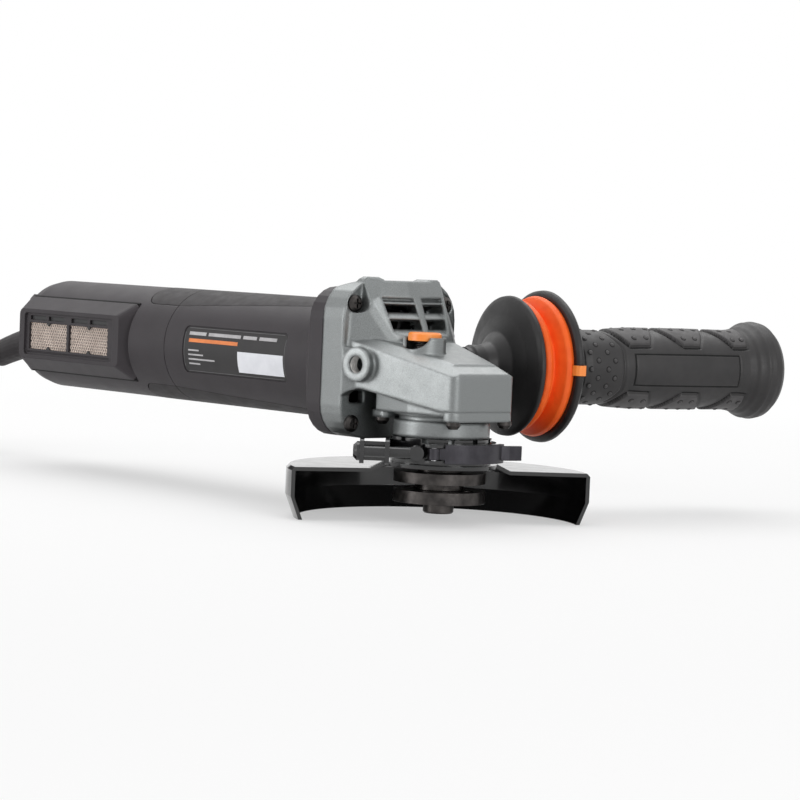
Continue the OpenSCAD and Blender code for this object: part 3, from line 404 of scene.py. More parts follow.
guard_enamel, tree, shader = new_finish("gloss_black_enamel", (0.006, 0.006, 0.0065), 0.13, coat=0.4)
shader.inputs["Coat Roughness"].default_value = 0.06
drift_colour(tree, shader, (0.005, 0.005, 0.0055), (0.009, 0.009, 0.0095), 25)
drift_roughness(tree, shader, 0.11, 0.18, 9)
grain(tree, shader, 4, 0.015, 0.4)

clamp_black, tree, shader = new_finish("oiled_black_steel", (0.009, 0.009, 0.0095), 0.16,
                                       metallic=0.2, coat=0.5)
drift_colour(tree, shader, (0.007, 0.007, 0.0075), (0.014, 0.014, 0.015), 5)
drift_roughness(tree, shader, 0.16, 0.28, 3)
grain(tree, shader, 1.5, 0.02, 0.4)

lever_grey, tree, shader = new_finish("satin_grey_lever", (0.034, 0.032, 0.038), 0.34, metallic=0.6)
drift_colour(tree, shader, (0.029, 0.027, 0.033), (0.042, 0.04, 0.047), 6)
drift_roughness(tree, shader, 0.28, 0.4, 3)
grain(tree, shader, 1.2, 0.015, 0.5)
print("paints:", cast_paint.name, guard_enamel.name, clamp_black.name)

# %% Bare steels, copper and bronze
burnished, tree, shader = new_finish("burnished_steel", (0.05, 0.046, 0.045), 0.34, metallic=1.0)
drift_colour(tree, shader, (0.04, 0.037, 0.036), (0.075, 0.069, 0.066), 5)
drift_roughness(tree, shader, 0.28, 0.4, 2)
grain(tree, shader, 0.5, 0.015, 0.25, (6, 6, 1))

ground_steel, tree, shader = new_finish("ground_steel", (0.55, 0.55, 0.56), 0.26, metallic=1.0)
drift_colour(tree, shader, (0.5, 0.5, 0.51), (0.6, 0.6, 0.6), 8)
grain(tree, shader, 0.3, 0.01, 0.2, (8, 1, 1))

bronze, tree, shader = new_finish("sintered_bronze", (0.45, 0.27, 0.12), 0.4, metallic=1.0)
drift_colour(tree, shader, (0.38, 0.22, 0.09), (0.52, 0.32, 0.15), 1.5)
grain(tree, shader, 0.3, 0.02, 0.2)

copper, tree, shader = new_finish("enamelled_copper", (0.5, 0.16, 0.06), 0.3, metallic=0.9, coat=0.4)
drift_colour(tree, shader, (0.4, 0.12, 0.04), (0.58, 0.2, 0.08), 2, (1, 6, 6))
grain(tree, shader, 0.6, 0.1, 0.3, (8, 1, 1))

lamination, tree, shader = new_finish("core_laminations", (0.16, 0.16, 0.165), 0.42, metallic=0.9)
drift_colour(tree, shader, (0.11, 0.11, 0.115), (0.22, 0.22, 0.225), 0.5, (1, 40, 40))
grain(tree, shader, 0.5, 0.03, 0.2, (1, 40, 40))

mesh_steel, tree, shader = new_finish("mesh_wire", (0.62, 0.53, 0.47), 0.45, metallic=0.5)
drift_colour(tree, shader, (0.54, 0.46, 0.41), (0.68, 0.59, 0.53), 6)
grain(tree, shader, 0.3, 0.01)

case_blue, tree, shader = new_finish("component_case", (0.03, 0.07, 0.14), 0.4)
drift_colour(tree, shader, (0.025, 0.06, 0.12), (0.035, 0.08, 0.16), 4)
grain(tree, shader, 0.6, 0.01, 0.2)
print("metals:", burnished.name, ground_steel.name, bronze.name, copper.name)

# %% Dress the CAD nodes that stay
dressing = {
    nylon: ["motor_housing", "rear_cover_left", "rear_cover_right", "filter_cover_left",
            "filter_cover_right"],
    inlay: ["motor_soft_grips", "rear_soft_grips", "strain_relief"],
    inner_plastic: ["cooling_fan", "bearing_bracket", "air_baffle", "cord_clamp", "power_switch",
                    "controller_module", "switch_slider", "switch_rod", "speed_dial"],
    disc_rubber: ["handle_disc", "handle_core"],
    damper_rubber: ["handle_bellows"],
    orange_plastic: ["lock_button"],
    sheath: ["plug_body"],
    strap: ["cord_tie"],
    cast_paint: ["gear_housing", "bearing_cap"],
    guard_enamel: ["guard_shell", "guard_collar"],
    clamp_black: ["clamp_band", "clamp_screw", "clamp_barrel"],
    lever_grey: ["clamp_lever"],
    burnished: ["gear_housing_screws", "bearing_cap_screws", "rear_cover_screws", "spindle",
                "inner_flange", "flange_nut", "bevel_gear", "pinion", "lock_pin"],
    ground_steel: ["spindle_bearing", "front_bearing", "rear_bearing", "rotor_shaft", "handle_stud",
                   "lever_pin", "plug_pins"],
    dust_fleece: ["filter_mesh_left", "filter_mesh_right"],
    bronze: ["spindle_bush"],
    copper: ["stator_windings"],
    lamination: ["stator_core", "rotor_magnets"],
    case_blue: ["speed_potentiometer"],
}
dressed = set()
for mat, names in dressing.items():
    for name in names:
        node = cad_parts[name]
        if not node.material_slots:
            node.data.materials.append(mat)
        for material_slot in node.material_slots:
            material_slot.material = mat
        dressed.add(name)
print("dressed", len(dressed), "nodes; to be replaced:", sorted(set(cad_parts) - dressed))

# %% [markdown]
# ## Rubber of the side handle
#
# The CAD grip is one smooth turned body. The real one is moulded with a studded neck, six
# slanting pads and a plain framed panel on each face. All of these are small steps
# in height over the same axis, so the rubber is built as a height field: for every place
# along the handle and every angle round it, a rule says how far out the skin lies.
# Front and back of the handle are alike, and so are its upper and lower half, so the rule
# needs just one quarter of the turn. A narrow groove runs round every pad, deepest on the
# slanting side.

# %% The handle's own axes
lean = math.radians(11.6)
socket_x, socket_y = -23.6, 32.9
handle_root = Vector((socket_x, socket_y, motor_z))
along = Vector((math.sin(lean), math.cos(lean), 0))
outward = Vector((math.cos(lean), -math.sin(lean), 0))
overhead = Vector((0, 0, 1))


def on_handle(s, angle, radius):
    """Point at s along the handle and an angle round it; zero faces the nose."""
    return handle_root + along * s + (outward * math.cos(angle) + overhead * math.sin(angle)) * radius


def table(points, x):
    """Value between the entries of a table of pairs."""
    if x <= points[0][0]:
        return points[0][1]
    for (x0, y0), (x1, y1) in zip(points, points[1:]):
        if x <= x1:
            return y0 + (y1 - y0) * (x - x0) / (x1 - x0)
    return points[-1][1]


print("handle axis:", [round(v, 3) for v in along])

# %% Profile, pads, panel and neck
grip_start, grip_end = 57.9, 175
grip_profile = [(grip_start, 17.1), (70, 17.3), (76, 17.5), (84, 18.1), (92, 18.6), (124, 18.8),
                (149, 18.6), (153, 19), (156, 20.2), (158.5, 21.7), (162, 23.5), (165.5, 24.2),
                (168.8, 23.6), (171.4, 21.6), (173.4, 17.5), (174.6, 11), (grip_end, 5)]
degree_mm = 0.33  # how long one degree round the handle is
# each pad: where its slanting edge starts, how far and how sharply that edge swings, where
# the other edge ends and how far that one slants
pads = [(78.4, 6.2, 2.5, 103.7, 8.5), (106.2, 9.3, 2.0, 133.8, 9.5), (136, 9, 1.3, 154.5, 2.0)]
pad_tilt, pad_height = 38.5, 1.1
panel_start, panel_end, panel_tilt = 85.5, 147.5, 25.5
ridges = (157.5, 161.5)


def step_up(d, width):
    """Rounded step from 0 to 1 over a width, d being the distance inside an outline."""
    return ease(d / width + 0.5)


def tilt_of(angle):
    """Degrees away from the plane of the panels, from 0 to 90."""
    turn = abs(abs(math.degrees(angle) + 180) % 360 - 180)
    return turn if turn <= 90 else 180 - turn


def pad_relief(s, tilt):
    """Height of pads and depth of grooves at a place along the handle."""
    share = min((90 - tilt) / 53, 1.2)  # 0 on the middle line of a pad, about 1 at the panel
    height = groove = 0.0
    for left, swing, power, right, slant in pads:
        slanting = min(s - left - swing * share ** power, (tilt - pad_tilt) * degree_mm)
        inside = min(slanting, right - slant * share - s)
        height = max(height, step_up(inside - 0.3, 0.7))
        trench = step_up(inside + 1.3, 0.6) * (1 - step_up(inside + 0.1, 0.6))
        groove = max(groove, trench * (0.95 if slanting == inside else 0.4))
    return height, groove


def frame_groove(s, tilt):
    """One in the thin groove that frames the panel, else zero."""
    inside = min(s - panel_start, panel_end - s, (panel_tilt - tilt) * degree_mm)
    return step_up(inside, 0.5) * (1 - step_up(inside - 0.8, 0.5))


def skin_radius(s, angle):
    """How far out the rubber lies."""
    tilt = tilt_of(angle)
    radius = table(grip_profile, s)
    # the neck stands up between a soft start and a groove
    neck_end = 78.6 - max(0, tilt - 33) * 0.15
    radius += 0.75 * step_up(neck_end - s, 0.8) * (1 - step_up(60 - s, 3))
    radius -= 0.7 * step_up(0.7 - abs(s - neck_end - 1.3), 0.6)
    height, groove = pad_relief(s, tilt)
    radius += pad_height * height - groove
    radius -= 0.6 * frame_groove(s, tilt)
    # two low ridges before the knob
    for ridge in ridges:
        radius += 0.25 * step_up(0.8 - abs(s - ridge), 1.2)
    return radius


print("radius in mm at the middle:", round(skin_radius(116, 0), 2),
      "and on a pad:", round(skin_radius(120, 1.5), 2))

# %% Walls between rings of vertices
def join_rings(work, rings, closed_ends=False):
    """Adds to a bmesh the walls that lead from each ring of vertices to the next."""
    for a, b in zip(rings, rings[1:]):
        for k in range(len(a)):
            j = (k + 1) % len(a)
            work.faces.new((a[k], a[j], b[j], b[k]))
    if closed_ends:
        work.faces.new(rings[0])
        work.faces.new(rings[-1])


print("ring helper ready")

# %% Skin of the grip
rows = [grip_start + 0.5 * i for i in range(229)] + [172.6, 173.2, 173.7, 174.1, 174.5, 174.8, grip_end]
columns = 240
angles = [2 * math.pi * k / columns for k in range(columns)]
mouth_radius = 15.1
grip_mesh = bmesh.new()
rings = [[grip_mesh.verts.new(on_handle(s, a, skin_radius(s, a)) * MM) for a in angles] for s in rows]
join_rings(grip_mesh, rings)
tip = grip_mesh.verts.new(on_handle(grip_end, 0, 0) * MM)
mouth = [grip_mesh.verts.new(on_handle(grip_start, a, mouth_radius) * MM) for a in angles]
join_rings(grip_mesh, [mouth, rings[0]])
for k in range(columns):
    grip_mesh.faces.new((rings[-1][k], rings[-1][(k + 1) % columns], tip))
print("rings of the grip:", len(rings), "with", columns, "points each")

# %% Pads in their own rubber, grooves darkened as painted shade
# material 0 is the skin, 1 the pads and 2 the grooves, whose near-black paints the shade in them
for face in grip_mesh.faces:
    middle = face.calc_center_median() / MM - handle_root
    s = middle.dot(along)
    tilt = tilt_of(math.atan2(middle.dot(overhead), middle.dot(outward)))
    height, groove = pad_relief(s, tilt)
    if height > 0.5:
        face.material_index = 1
    elif max(groove, frame_groove(s, tilt)) > 0.6:
        face.material_index = 2
bmesh.ops.recalc_face_normals(grip_mesh, faces=grip_mesh.faces)
grip_data = bpy.data.meshes.new("grip_skin")
grip_mesh.to_mesh(grip_data)
grip_mesh.free()
grip_data.shade_smooth()
grip_skin = bpy.data.objects.new("grip_skin", grip_data)
bpy.context.collection.objects.link(grip_skin)
grip_skin.data.materials.append(grip_rubber)
grip_skin.data.materials.append(pad_rubber)
grip_skin.data.materials.append(shadow_rubber)
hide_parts("handle_grip")
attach(grip_skin, "housing")
print("grip skin faces:", len(grip_data.polygons))

# %% [markdown]
# ### Studs
#
# Neck and pads carry small round studs. There are too many to model by hand, and they are
# all the same, so one low dome is repeated by Geometry Nodes: a cloud of points says
# where they stand, and a stored direction turns each dome to stand square on the rubber.

# %% Points that know which way they face
def facing_cloud(name, places, directions):
    """Mesh of loose points, each of which stores the direction it faces."""
    cloud = bpy.data.meshes.new(name)
    cloud.from_pydata(places, [], [])
    facing = cloud.attributes.new("facing", "FLOAT_VECTOR", "POINT")
    for stored, direction in zip(facing.data, directions):
        stored.vector = direction
    print(name, "points:", len(cloud.vertices))
    return cloud


# %% Where the studs stand
# two staggered double rings of studs on the neck
stud_places = []
for row in range(-13, 14):
    for j in range(2):
        stud_places.append(((60.7 if row % 2 == 0 else 64.6) + 9.4 * j, math.radians(13.33 * row)))
# rows on the pads, the same in all four quarters
for tilt, starts in ((76, [85.2, 91.9, 98.6, 113.6, 120.3, 127.0, 142.6, 148.8]),
                     (51, [87.7, 94.3, 116.2, 122.8, 145.5, 151.0])):
    for s in starts:
        for angle in (tilt, 180 - tilt, -tilt, tilt - 180):
            stud_places.append((s, math.radians(angle)))
sunk = 0.1
stud_cloud = facing_cloud(
    "grip_studs", [on_handle(s, a, skin_radius(s, a) - sunk) * MM for s, a in stud_places],
    [outward * math.cos(a) + overhead * math.sin(a) for s, a in stud_places])

# %% Nodes that set a shape on every point of a cloud
def repeater(name):
    """Node group that sets Shape on all Points, made real and with its Finish."""
    group = bpy.data.node_groups.new(name, "GeometryNodeTree")
    for socket, way, kind in (("Points", "INPUT", "Geometry"), ("Shape", "INPUT", "Object"),
                              ("Finish", "INPUT", "Material"), ("Result", "OUTPUT", "Geometry")):
        group.interface.new_socket(name=socket, in_out=way, socket_type="NodeSocket" + kind)
    given = group.nodes.new("NodeGroupInput")
    result = group.nodes.new("NodeGroupOutput")
    shape_info = group.nodes.new("GeometryNodeObjectInfo")
    facing_field = group.nodes.new("GeometryNodeInputNamedAttribute")
    facing_field.data_type = "FLOAT_VECTOR"
    facing_field.inputs["Name"].default_value = "facing"
    turn = group.nodes.new("FunctionNodeAlignRotationToVector")
    turn.axis = "Z"
    spread = group.nodes.new("GeometryNodeInstanceOnPoints")
    real = group.nodes.new("GeometryNodeRealizeInstances")
    finish = group.nodes.new("GeometryNodeSetMaterial")
    link = group.links.new
    link(given.outputs["Shape"], shape_info.inputs["Object"])
    link(given.outputs["Points"], spread.inputs["Points"])
    link(shape_info.outputs["Geometry"], spread.inputs["Instance"])
    link(facing_field.outputs["Attribute"], turn.inputs["Vector"])
    link(turn.outputs["Rotation"], spread.inputs["Rotation"])
    link(spread.outputs["Instances"], real.inputs["Geometry"])
    link(real.outputs["Geometry"], finish.inputs["Geometry"])
    link(given.outputs["Finish"], finish.inputs["Material"])
    link(finish.outputs["Geometry"], result.inputs["Result"])
    return group


print("repeater ready")

# %% One piece from a shape and a cloud
def repeat_on_points(name, cloud, shape, material):
    """Puts shape on each point of cloud; returns the result as one plain mesh object."""
    group = repeater(name)
    maker = bpy.data.objects.new(name + "_points", cloud)
    bpy.context.collection.objects.link(maker)
    modifier = maker.modifiers.new(name, "NODES")
    modifier.node_group = group
    keys = {item.name: item.identifier for item in group.interface.items_tree if item.in_out == "INPUT"}
    modifier[keys["Shape"]] = shape
    modifier[keys["Finish"]] = material
    bpy.context.view_layer.update()
    made = bpy.data.meshes.new_from_object(maker.evaluated_get(bpy.context.evaluated_depsgraph_get()))
    made.name = name
    for spare in (maker, shape):
        bpy.data.objects.remove(spare)
    made.materials.clear()
    made.materials.append(material)
    placed = bpy.data.objects.new(name, made)
    bpy.context.collection.objects.link(placed)
    print(name, "faces:", len(made.polygons))
    return placed


print("point tool ready")

# %% Domes on the rubber
stud_radius, stud_height = 1.15, 0.62
dome_mesh = bpy.data.meshes.new("dome")
dome = bmesh.new()
bmesh.ops.create_uvsphere(dome, u_segments=10, v_segments=6, radius=1)
bmesh.ops.delete(dome, geom=[v for v in dome.verts if v.co.z < -0.01], context="VERTS")
bmesh.ops.scale(dome, vec=(stud_radius * MM, stud_radius * MM, stud_height * MM), verts=dome.verts)
dome.to_mesh(dome_mesh)
dome.free()
dome_mesh.shade_smooth()
dome_shape = bpy.data.objects.new("dome", dome_mesh)
grip_studs = repeat_on_points("grip_studs", stud_cloud, dome_shape, pad_rubber)
grip_studs.data.shade_smooth()
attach(grip_studs, "housing")

# %% Painted shade round the foot of every dome
stud_shade_ring_mesh = bpy.data.meshes.new("moat")
moat = bmesh.new()
sides = [(math.cos(k * math.pi / 6), math.sin(k * math.pi / 6)) for k in range(12)]
join_rings(moat, [[moat.verts.new(Vector((r * x, r * y, z)) * MM) for x, y in sides]
                  for r, z in ((1.55, 0.02), (1.3, 0.15), (1.0, 0.16))])
moat.to_mesh(stud_shade_ring_mesh)
moat.free()
# a flat near-black ring under and round each dome paints the shade at its foot
stud_moats = repeat_on_points("stud_moats", stud_cloud, bpy.data.objects.new("moat", stud_shade_ring_mesh),
                              shadow_rubber)
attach(stud_moats, "housing")

# %% [markdown]
# ### Orange clip on the hand guard
#
# A small orange clip is pressed over the rim of the hand guard on the nose side. It hugs
# the rim from the damper to the back of the guard, so it is laid as a short strip
# along the rim's own section.

# %% From a loose shape to a finished piece
def place_piece(name, work, material, body="housing"):
    """Turns a bmesh into a finished piece that rides a body."""
    bmesh.ops.recalc_face_normals(work, faces=work.faces)
    data = bpy.data.meshes.new(name)
    work.to_mesh(data)
    work.free()
    piece = bpy.data.objects.new(name, data)
    bpy.context.collection.objects.link(piece)
    piece.data.materials.append(material)
    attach(piece, body)
    print(name, "faces:", len(data.polygons))
    return piece


print("piece helper ready")

# %% The clip over the rim
clip_half = 2.4
clip_section = [(39.6, 33.2), (40.3, 35.4), (41.4, 36.6), (43.4, 36.9), (45.2, 36.3), (46, 35),
                (46, 33.2), (43, 32.8)]
clip = bmesh.new()
join_rings(clip, [[clip.verts.new((on_handle(s, 0, r) + overhead * w) * MM) for s, r in clip_section]
                  for w in (-clip_half, clip_half)], closed_ends=True)
guard_clip = place_piece("guard_clip", clip, orange_plastic)
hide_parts("handle_tab")

# %% [markdown]
# ### Wire mesh of the air inlets
#
# Air for the motor enters through two windows in each side cover. Behind them lies a
# pale dust fleece, and over it a fine wire mesh of six-sided cells. A mesh is the same
# small ring over and over, so one ring of six wires is repeated by Geometry Nodes on
# a staggered grid of points. Small pointed catches hold the sheet at the middle of
# every window's upper and lower edge, and a thin black plate closes the row of slots above.

# %% Cells of the mesh in four windows
cell = 1.7
wire = 0.38
window_low, window_high = -8.0, 6.0
window_ends = ((-298, -263), (-261, -226))
mesh_face = 26.9
overlap = 0.4  # how far the mesh runs on behind the edge of a window


def mesh_points(side):
    """Middles of the cells on one side; side is -1 on the left and 1 on the right."""
    points = []
    row_step = cell * math.sqrt(3) / 2
    y = side * (mesh_face + 0.05)
    for left, right in window_ends:
        for row in range(int((window_high - window_low + 1.2) / row_step) + 1):
            shift = cell / 2 if row % 2 else 0
            x = left - overlap + shift
            while x < right + overlap:
                points.append(at(x, y, motor_z + window_low - overlap + row * row_step))
                x += cell
    return points


left_points, right_points = mesh_points(-1), mesh_points(1)
mesh_cloud = facing_cloud("filter_wires", left_points + right_points,
                          [(0, -1, 0)] * len(left_points) + [(0, 1, 0)] * len(right_points))

# %% One cell, a ring of six wires
ring_mesh = bpy.data.meshes.new("cell")
ring = bmesh.new()
outer, inner = cell / math.sqrt(3), cell / math.sqrt(3) - wire
corners = [(math.cos(math.radians(60 * k + 30)), math.sin(math.radians(60 * k + 30))) for k in range(6)]
join_rings(ring, [[ring.verts.new(Vector((r * x, r * y, z)) * MM) for x, y in corners]
                  for r, z in ((outer, 0), ((outer + inner) / 2, 0.22), (inner, 0))])
ring.to_mesh(ring_mesh)
ring.free()
filter_wires = repeat_on_points("filter_wires", mesh_cloud, bpy.data.objects.new("cell", ring_mesh),
                                mesh_steel)
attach(filter_wires, "housing")

# %% Pointed catches at the middle of the window edges
catches = bmesh.new()
for side in (-1, 1):
    for left, right in window_ends:
        middle = (left + right) / 2
        for edge, way in ((window_low, 1), (window_high, -1)):
            outline = [(middle - 1.9, edge - way * 0.5), (middle + 1.9, edge - way * 0.5),
                       (middle + 1.5, edge + way * 0.2), (middle + 0.3, edge + way * 1.5),
                       (middle - 0.3, edge + way * 1.5), (middle - 1.5, edge + way * 0.2)]
            join_rings(catches, [[catches.verts.new(at(x, side * (mesh_face + out), motor_z + z))
                                  for x, z in outline] for out in (0.1, 1.2)], closed_ends=True)
    # plate behind the row of slots over the windows
    plate_middle = at(-262, side * (mesh_face + 0.15), motor_z + 8.6)
    bmesh.ops.create_cube(catches, size=1, matrix=Matrix.Translation(plate_middle)
                          @ Matrix.Diagonal((*at(73, 0.3, 3.4), 1)))
place_piece("filter_catches", catches, inner_plastic)

# %% [markdown]
# ### Type plate
#
# The left side of the barrel has a shallow field for a printed film. The tool carries no
# name, so the film is bare but for plain bars where a maker would print and a blank sticker;
# thin pale lines inside its edges paint the highlight on the rim of the field. Film, print and
# sticker are curved sheets that follow the barrel: a helper lays any rectangle, given along the barrel
# and in height, on the round wall.

# %% Curved sheets on the barrel
sheet_row = 0.8  # height of a row of faces


def barrel_sheet(work, x0, x1, z0, z1, radius, thick, corner=0.0):
    """Adds a curved rectangle on the left side of the barrel, with round corners if asked."""
    steps = max(2, int((z1 - z0) / sheet_row) + 1)
    rings = []
    for i in range(steps + 1):
        z = z0 + (z1 - z0) * i / steps
        rise = max(0.0, corner - min(z - z0, z1 - z))
        inset = corner - math.sqrt(max(0.0, corner ** 2 - rise ** 2))
        section = ((x0 + inset, radius), (x0 + inset, radius + thick),
                   (x1 - inset, radius + thick), (x1 - inset, radius))
        rings.append([work.verts.new(at(x, -math.sqrt(r * r - z * z), motor_z + z))
                      for x, r in section])
    join_rings(work, rings, closed_ends=True)


print("sheet helper ready")

# %% Film with the painted highlight along its rim
plate_radius = 27.72
film_thick, ink_thick = 0.1, 0.02
film = bmesh.new()
barrel_sheet(film, -161.6, -81.4, -11.6, 10.6, plate_radius, film_thick, corner=2.5)
place_piece("type_film", film, film_print)

# pale lines just inside the film's edges paint the highlight on the rim of the field
rim_highlight_lines = bmesh.new()
for x0, x1, z0, z1 in ((-159, -84, 9.9, 10.15), (-159, -84, -11.15, -10.9),
                       (-161.1, -160.85, -9, 8), (-82.15, -81.9, -9, 8)):
    barrel_sheet(rim_highlight_lines, x0, x1, z0, z1, plate_radius + film_thick, ink_thick)
place_piece("type_frame", rim_highlight_lines, rim_highlight_print)

# %% Plain bars and the blank sticker
pale_bars = bmesh.new()
for x0, x1 in ((-158, -144.5), (-142.5, -117), (-115, -104.5), (-102.5, -89)):
    barrel_sheet(pale_bars, x0, x1, 6.6, 8.2, plate_radius + film_thick, ink_thick)
for x1, z in ((-149, -1.2), (-145.5, -3.4), (-136.5, -5.6), (-148.5, -7.8)):
    barrel_sheet(pale_bars, -157.5, x1, z, z + 0.75, plate_radius + film_thick, ink_thick)
place_piece("type_bars", pale_bars, pale_print)

orange_bar = bmesh.new()
barrel_sheet(orange_bar, -157.5, -118.5, 3.1, 4.9, plate_radius + film_thick, ink_thick)
place_piece("type_stripe", orange_bar, orange_print)

sticker = bmesh.new()
barrel_sheet(sticker, -118, -83, -9.6, 0.4, plate_radius + film_thick, 0.05)
place_piece("type_sticker", sticker, sticker_paper)

# %% [markdown]
# ### Screw threads
#
# The end of the spindle carries an M14 thread of 2 mm pitch, and each handle socket an M8
# thread of 1.25 mm. CAD keeps them as plain cylinders, which are simple to hold and to
# measure. Here one pointed ridge winds round the spindle, and one winds down the free
# socket from 1 to 6.2 mm deep; deeper, the wall keeps the darker paint of the head, which paints the
# shade deep in the hole. The other socket is filled by the handle's stud, so it needs none.

# %% Winding ridges
def thread_ridge(place, foot, crest, pitch, length, width, steps=40):
    """Bmesh of a ridge from foot to crest radius that winds along the z axis of place."""
    work = bmesh.new()
    count = int(length / pitch * steps)
    rings = []
    for i in range(count + 1):
        turn = 2 * math.pi * i / steps
        z = pitch * i / steps
        fade = min(1.0, i / 12, (count - i) / 12)
        top = foot + (crest - foot) * fade
        out = Vector((math.cos(turn), math.sin(turn), 0))
        section = ((foot, -width / 2), (top, -width * 0.1), (top, width * 0.1), (foot, width / 2))
        rings.append([work.verts.new((place @ (out * r + Vector((0, 0, z + dz)))) * MM)
                      for r, dz in section])
    join_rings(work, rings, closed_ends=True)
    return work


spindle_thread = thread_ridge(Matrix.Translation((0, 0, 0.4)), foot=6.6, crest=6.98, pitch=2.0,
                              length=3.2, width=1.4)
place_piece("spindle_ridge", spindle_thread, burnished, "spindle_set")

# %% Thread in the free socket
tapped_cast, tree, shader = new_finish("tapped_cast_metal", (0.4, 0.39, 0.375), 0.36, metallic=0.7)
drift_colour(tree, shader, (0.34, 0.332, 0.32), (0.46, 0.449, 0.432), 1.5)
grain(tree, shader, 0.4, 0.02, 0.2)
free_socket = (Matrix.Translation((socket_x, -socket_y, motor_z)) @ Matrix.Rotation(lean, 4, "Z")
               @ Matrix.Rotation(math.radians(90), 4, "X"))
# the ridge stops 6.2 mm down, so that the darker paint of the head below it stands as painted shade in
# the hole
socket_thread = thread_ridge(free_socket @ Matrix.Translation((0, 0, -6.2)), foot=4.06, crest=3.5,
                             pitch=1.25, length=5.2, width=1.16)
place_piece("socket_ridge", socket_thread, tapped_cast)

# %% [markdown]
# ### Spring of the lock button
#
# A compression spring lifts the button out of its cup. It could be a curve with a round
# bevel, but it has to shorten when the button goes down, and only a mesh can do that, so its
# wire is swept round the helix ring by ring.

# %% Coil spring between the button's cup and its cap
button_x, button_y = -4, -9
cup_floor, cap_under, press = 5.6, 12.0, 4.5
spring_radius, wire_d = 4.0, 0.9
coils, coil_steps = 5, 24
spring_work = bmesh.new()
rings = []
for i in range(coils * coil_steps + 1):
    turn = 2 * math.pi * i / coil_steps
    rise = motor_z + cup_floor + wire_d / 2 + (cap_under - cup_floor - wire_d) * i / (coils * coil_steps)
    ring = []
    for k in range(8):
        a = 2 * math.pi * k / 8
        r = spring_radius + wire_d / 2 * math.cos(a)
        ring.append(spring_work.verts.new(at(button_x + r * math.cos(turn), button_y + r * math.sin(turn),
                                             rise + wire_d / 2 * math.sin(a))))
    rings.append(ring)
join_rings(spring_work, rings, closed_ends=True)
coil_spring = place_piece("coil_spring", spring_work, burnished)
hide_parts("lock_spring")
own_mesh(coil_spring)

# %% [markdown]
# ### Wall over the switch rod
#
# The rod of the slide switch runs just under the wall of the right rear cover. The cover
# is cut there so that it slips over the rod, and this thin curved lid closes the
# wall again. It follows the round of the barrel.

# %% Lid over the rod
lid_back, lid_front = -190, -177.4
wall_in, wall_out = 26.6, 28.16
lid_half = 4.6
lid = bmesh.new()
rows = []
for i in range(9):
    z = -lid_half + 2 * lid_half * i / 8
    rows.append([lid.verts.new(at(x, math.sqrt(r * r - z * z), motor_z + z))
                 for x, r in ((lid_back, wall_in), (lid_front, wall_in),
                              (lid_front, wall_out), (lid_back, wall_out))])
join_rings(lid, rows, closed_ends=True)
place_piece("rod_lid", lid, nylon)

# %% [markdown]
# ### Painted shade along the side covers
#
# Above and below each air cover the gap to the housing lies in shade. A thin black square
# cord turned on its corner, laid in the corner between cover and housing, paints that shade
# as a dark line.

# %% Four cords of painted shade
shade_cord_out, shade_cord_up, shade_cord_half = 20.4, 19.4, 0.6
shade_cord_ends = (-305, -209)
shade_cords = bmesh.new()
for side in (-1, 1):
    for level in (-1, 1):
        rings = [[shade_cords.verts.new(at(x, side * (shade_cord_out + dy), motor_z + level * (shade_cord_up + dz)))
                  for dy, dz in ((-shade_cord_half, 0), (0, shade_cord_half), (shade_cord_half, 0), (0, -shade_cord_half))]
                 for x in shade_cord_ends]
        join_rings(shade_cords, rings, closed_ends=True)
# near-black cords that paint the shade in the gaps above and below each side cover
place_piece("cover_seals", shade_cords, shadow_rubber)

# %% [markdown]
# ## Floor, background and light
#
# A tool with black, grey and orange pieces shows best on plain white. The floor is a wide
# pale sheet that keeps the tool's shadow. Only to the eye does it turn paler with
# distance, until it meets the white world without an edge; for the light that falls on the tool
# it stays an ordinary sheet. The world is white just for the camera, for gloss and for
# glass, so that it doesn't wash out the forms. Three soft square lamps shape the tool:
# a wide one over it and a little behind, a low one on the left and one on the right.

# %% Pale floor
floor_gap = 0.0002
bpy.ops.mesh.primitive_plane_add(size=40, location=(0, 0, ground_z * MM - floor_gap))
floor = bpy.context.object
floor.name = "floor"
floor_paint, tree, shader = new_finish("pale_floor", (0.86, 0.86, 0.86), 0.75, specular=0.2)
floor.data.materials.append(floor_paint)
print("floor at", round(floor.location.z * 1000, 1), "mm")

# %% Rays that go to the eye
def seen_by_eye(tree):
    """One where a ray comes from the camera, from gloss or through glass, else zero."""
    path = tree.nodes.new("ShaderNodeLightPath")
    total = path.outputs["Is Camera Ray"]
    for kind in ("Is Glossy Ray", "Is Transmission Ray"):
        larger = tree.nodes.new("ShaderNodeMath")
        larger.operation = "MAXIMUM"
        tree.links.new(total, larger.inputs[0])
        tree.links.new(path.outputs[kind], larger.inputs[1])
        total = larger.outputs[0]
    return total


def pale_with_distance(tree, near, far, least):
    """Share of white, from least near the tool to one far from it."""
    length = tree.nodes.new("ShaderNodeVectorMath")
    length.operation = "LENGTH"
    tree.links.new(object_place(tree), length.inputs[0])
    span = map_range(tree, length.outputs["Value"], near, far, least, 1.0)
    span.interpolation_type = "SMOOTHSTEP"
    return span.outputs["Result"]


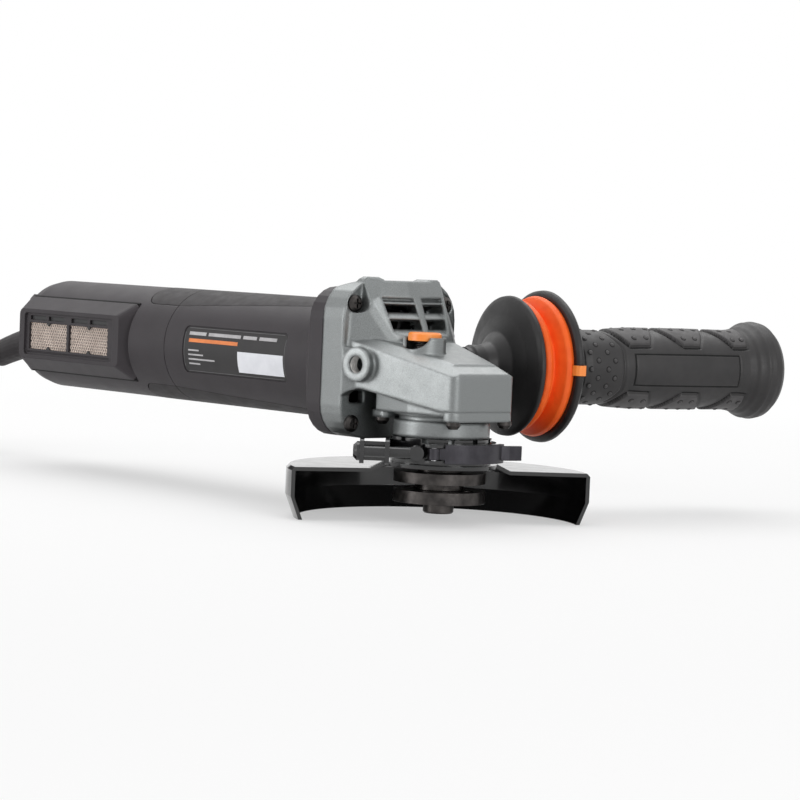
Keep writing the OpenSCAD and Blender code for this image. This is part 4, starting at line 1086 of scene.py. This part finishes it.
white = tree.nodes.new("ShaderNodeEmission")
white.inputs["Color"].default_value = (1, 1, 1, 1)
share = tree.nodes.new("ShaderNodeMath")
share.operation = "MULTIPLY"
tree.links.new(seen_by_eye(tree), share.inputs[0])
tree.links.new(pale_with_distance(tree, near=0.35, far=1.1, least=0.45), share.inputs[1])
blend_floor = tree.nodes.new("ShaderNodeMixShader")
tree.links.new(share.outputs[0], blend_floor.inputs["Fac"])
tree.links.new(shader.outputs[0], blend_floor.inputs[1])
tree.links.new(white.outputs[0], blend_floor.inputs[2])
tree.links.new(blend_floor.outputs[0], tree.nodes["Material Output"].inputs["Surface"])
print("floor finish:", floor_paint.name)

# %% White background for the camera and for gloss
world = bpy.data.worlds.new("studio")
bpy.context.scene.world = world
world.use_nodes = True
sky = world.node_tree
sky.nodes.clear()
room_light, seen_white = 0.36, 1.0
room, backdrop = [sky.nodes.new("ShaderNodeBackground") for i in range(2)]
for white_light, strength in ((room, room_light), (backdrop, seen_white)):
    white_light.inputs["Color"].default_value = (1, 1, 1, 1)
    white_light.inputs["Strength"].default_value = strength
choose = sky.nodes.new("ShaderNodeMixShader")
out = sky.nodes.new("ShaderNodeOutputWorld")
sky.links.new(seen_by_eye(sky), choose.inputs["Fac"])
sky.links.new(room.outputs[0], choose.inputs[1])
sky.links.new(backdrop.outputs[0], choose.inputs[2])
sky.links.new(choose.outputs[0], out.inputs["Surface"])
print("world:", world.name)

# %% Soft lamps
def soft_lamp(name, azimuth, rise, distance, size, watts):
    """Square area lamp that looks at the middle of the tool."""
    aim = at(-110, 0, 50)
    a, e = math.radians(azimuth), math.radians(rise)
    away = Vector((math.sin(a) * math.cos(e), -math.cos(a) * math.cos(e), math.sin(e)))
    lamp = bpy.data.objects.new(name, bpy.data.lights.new(name, "AREA"))
    lamp.data.shape = "SQUARE"
    lamp.data.size = size
    lamp.data.energy = watts
    lamp.location = aim + away * distance
    lamp.rotation_euler = (-away).to_track_quat("-Z", "Y").to_euler()
    bpy.context.collection.objects.link(lamp)
    return lamp


lamps = [soft_lamp("overhead", azimuth=235, rise=70, distance=1.5, size=1.9, watts=22),
         soft_lamp("left", azimuth=-22, rise=8, distance=1.6, size=0.7, watts=10),
         soft_lamp("right", azimuth=82, rise=16, distance=1.8, size=0.8, watts=10)]
print("lamps:", [lamp.name for lamp in lamps])

# %% [markdown]
# ## Finish
#
# The last step brings the scene up to date.

# %% Finish
bpy.context.view_layer.update()
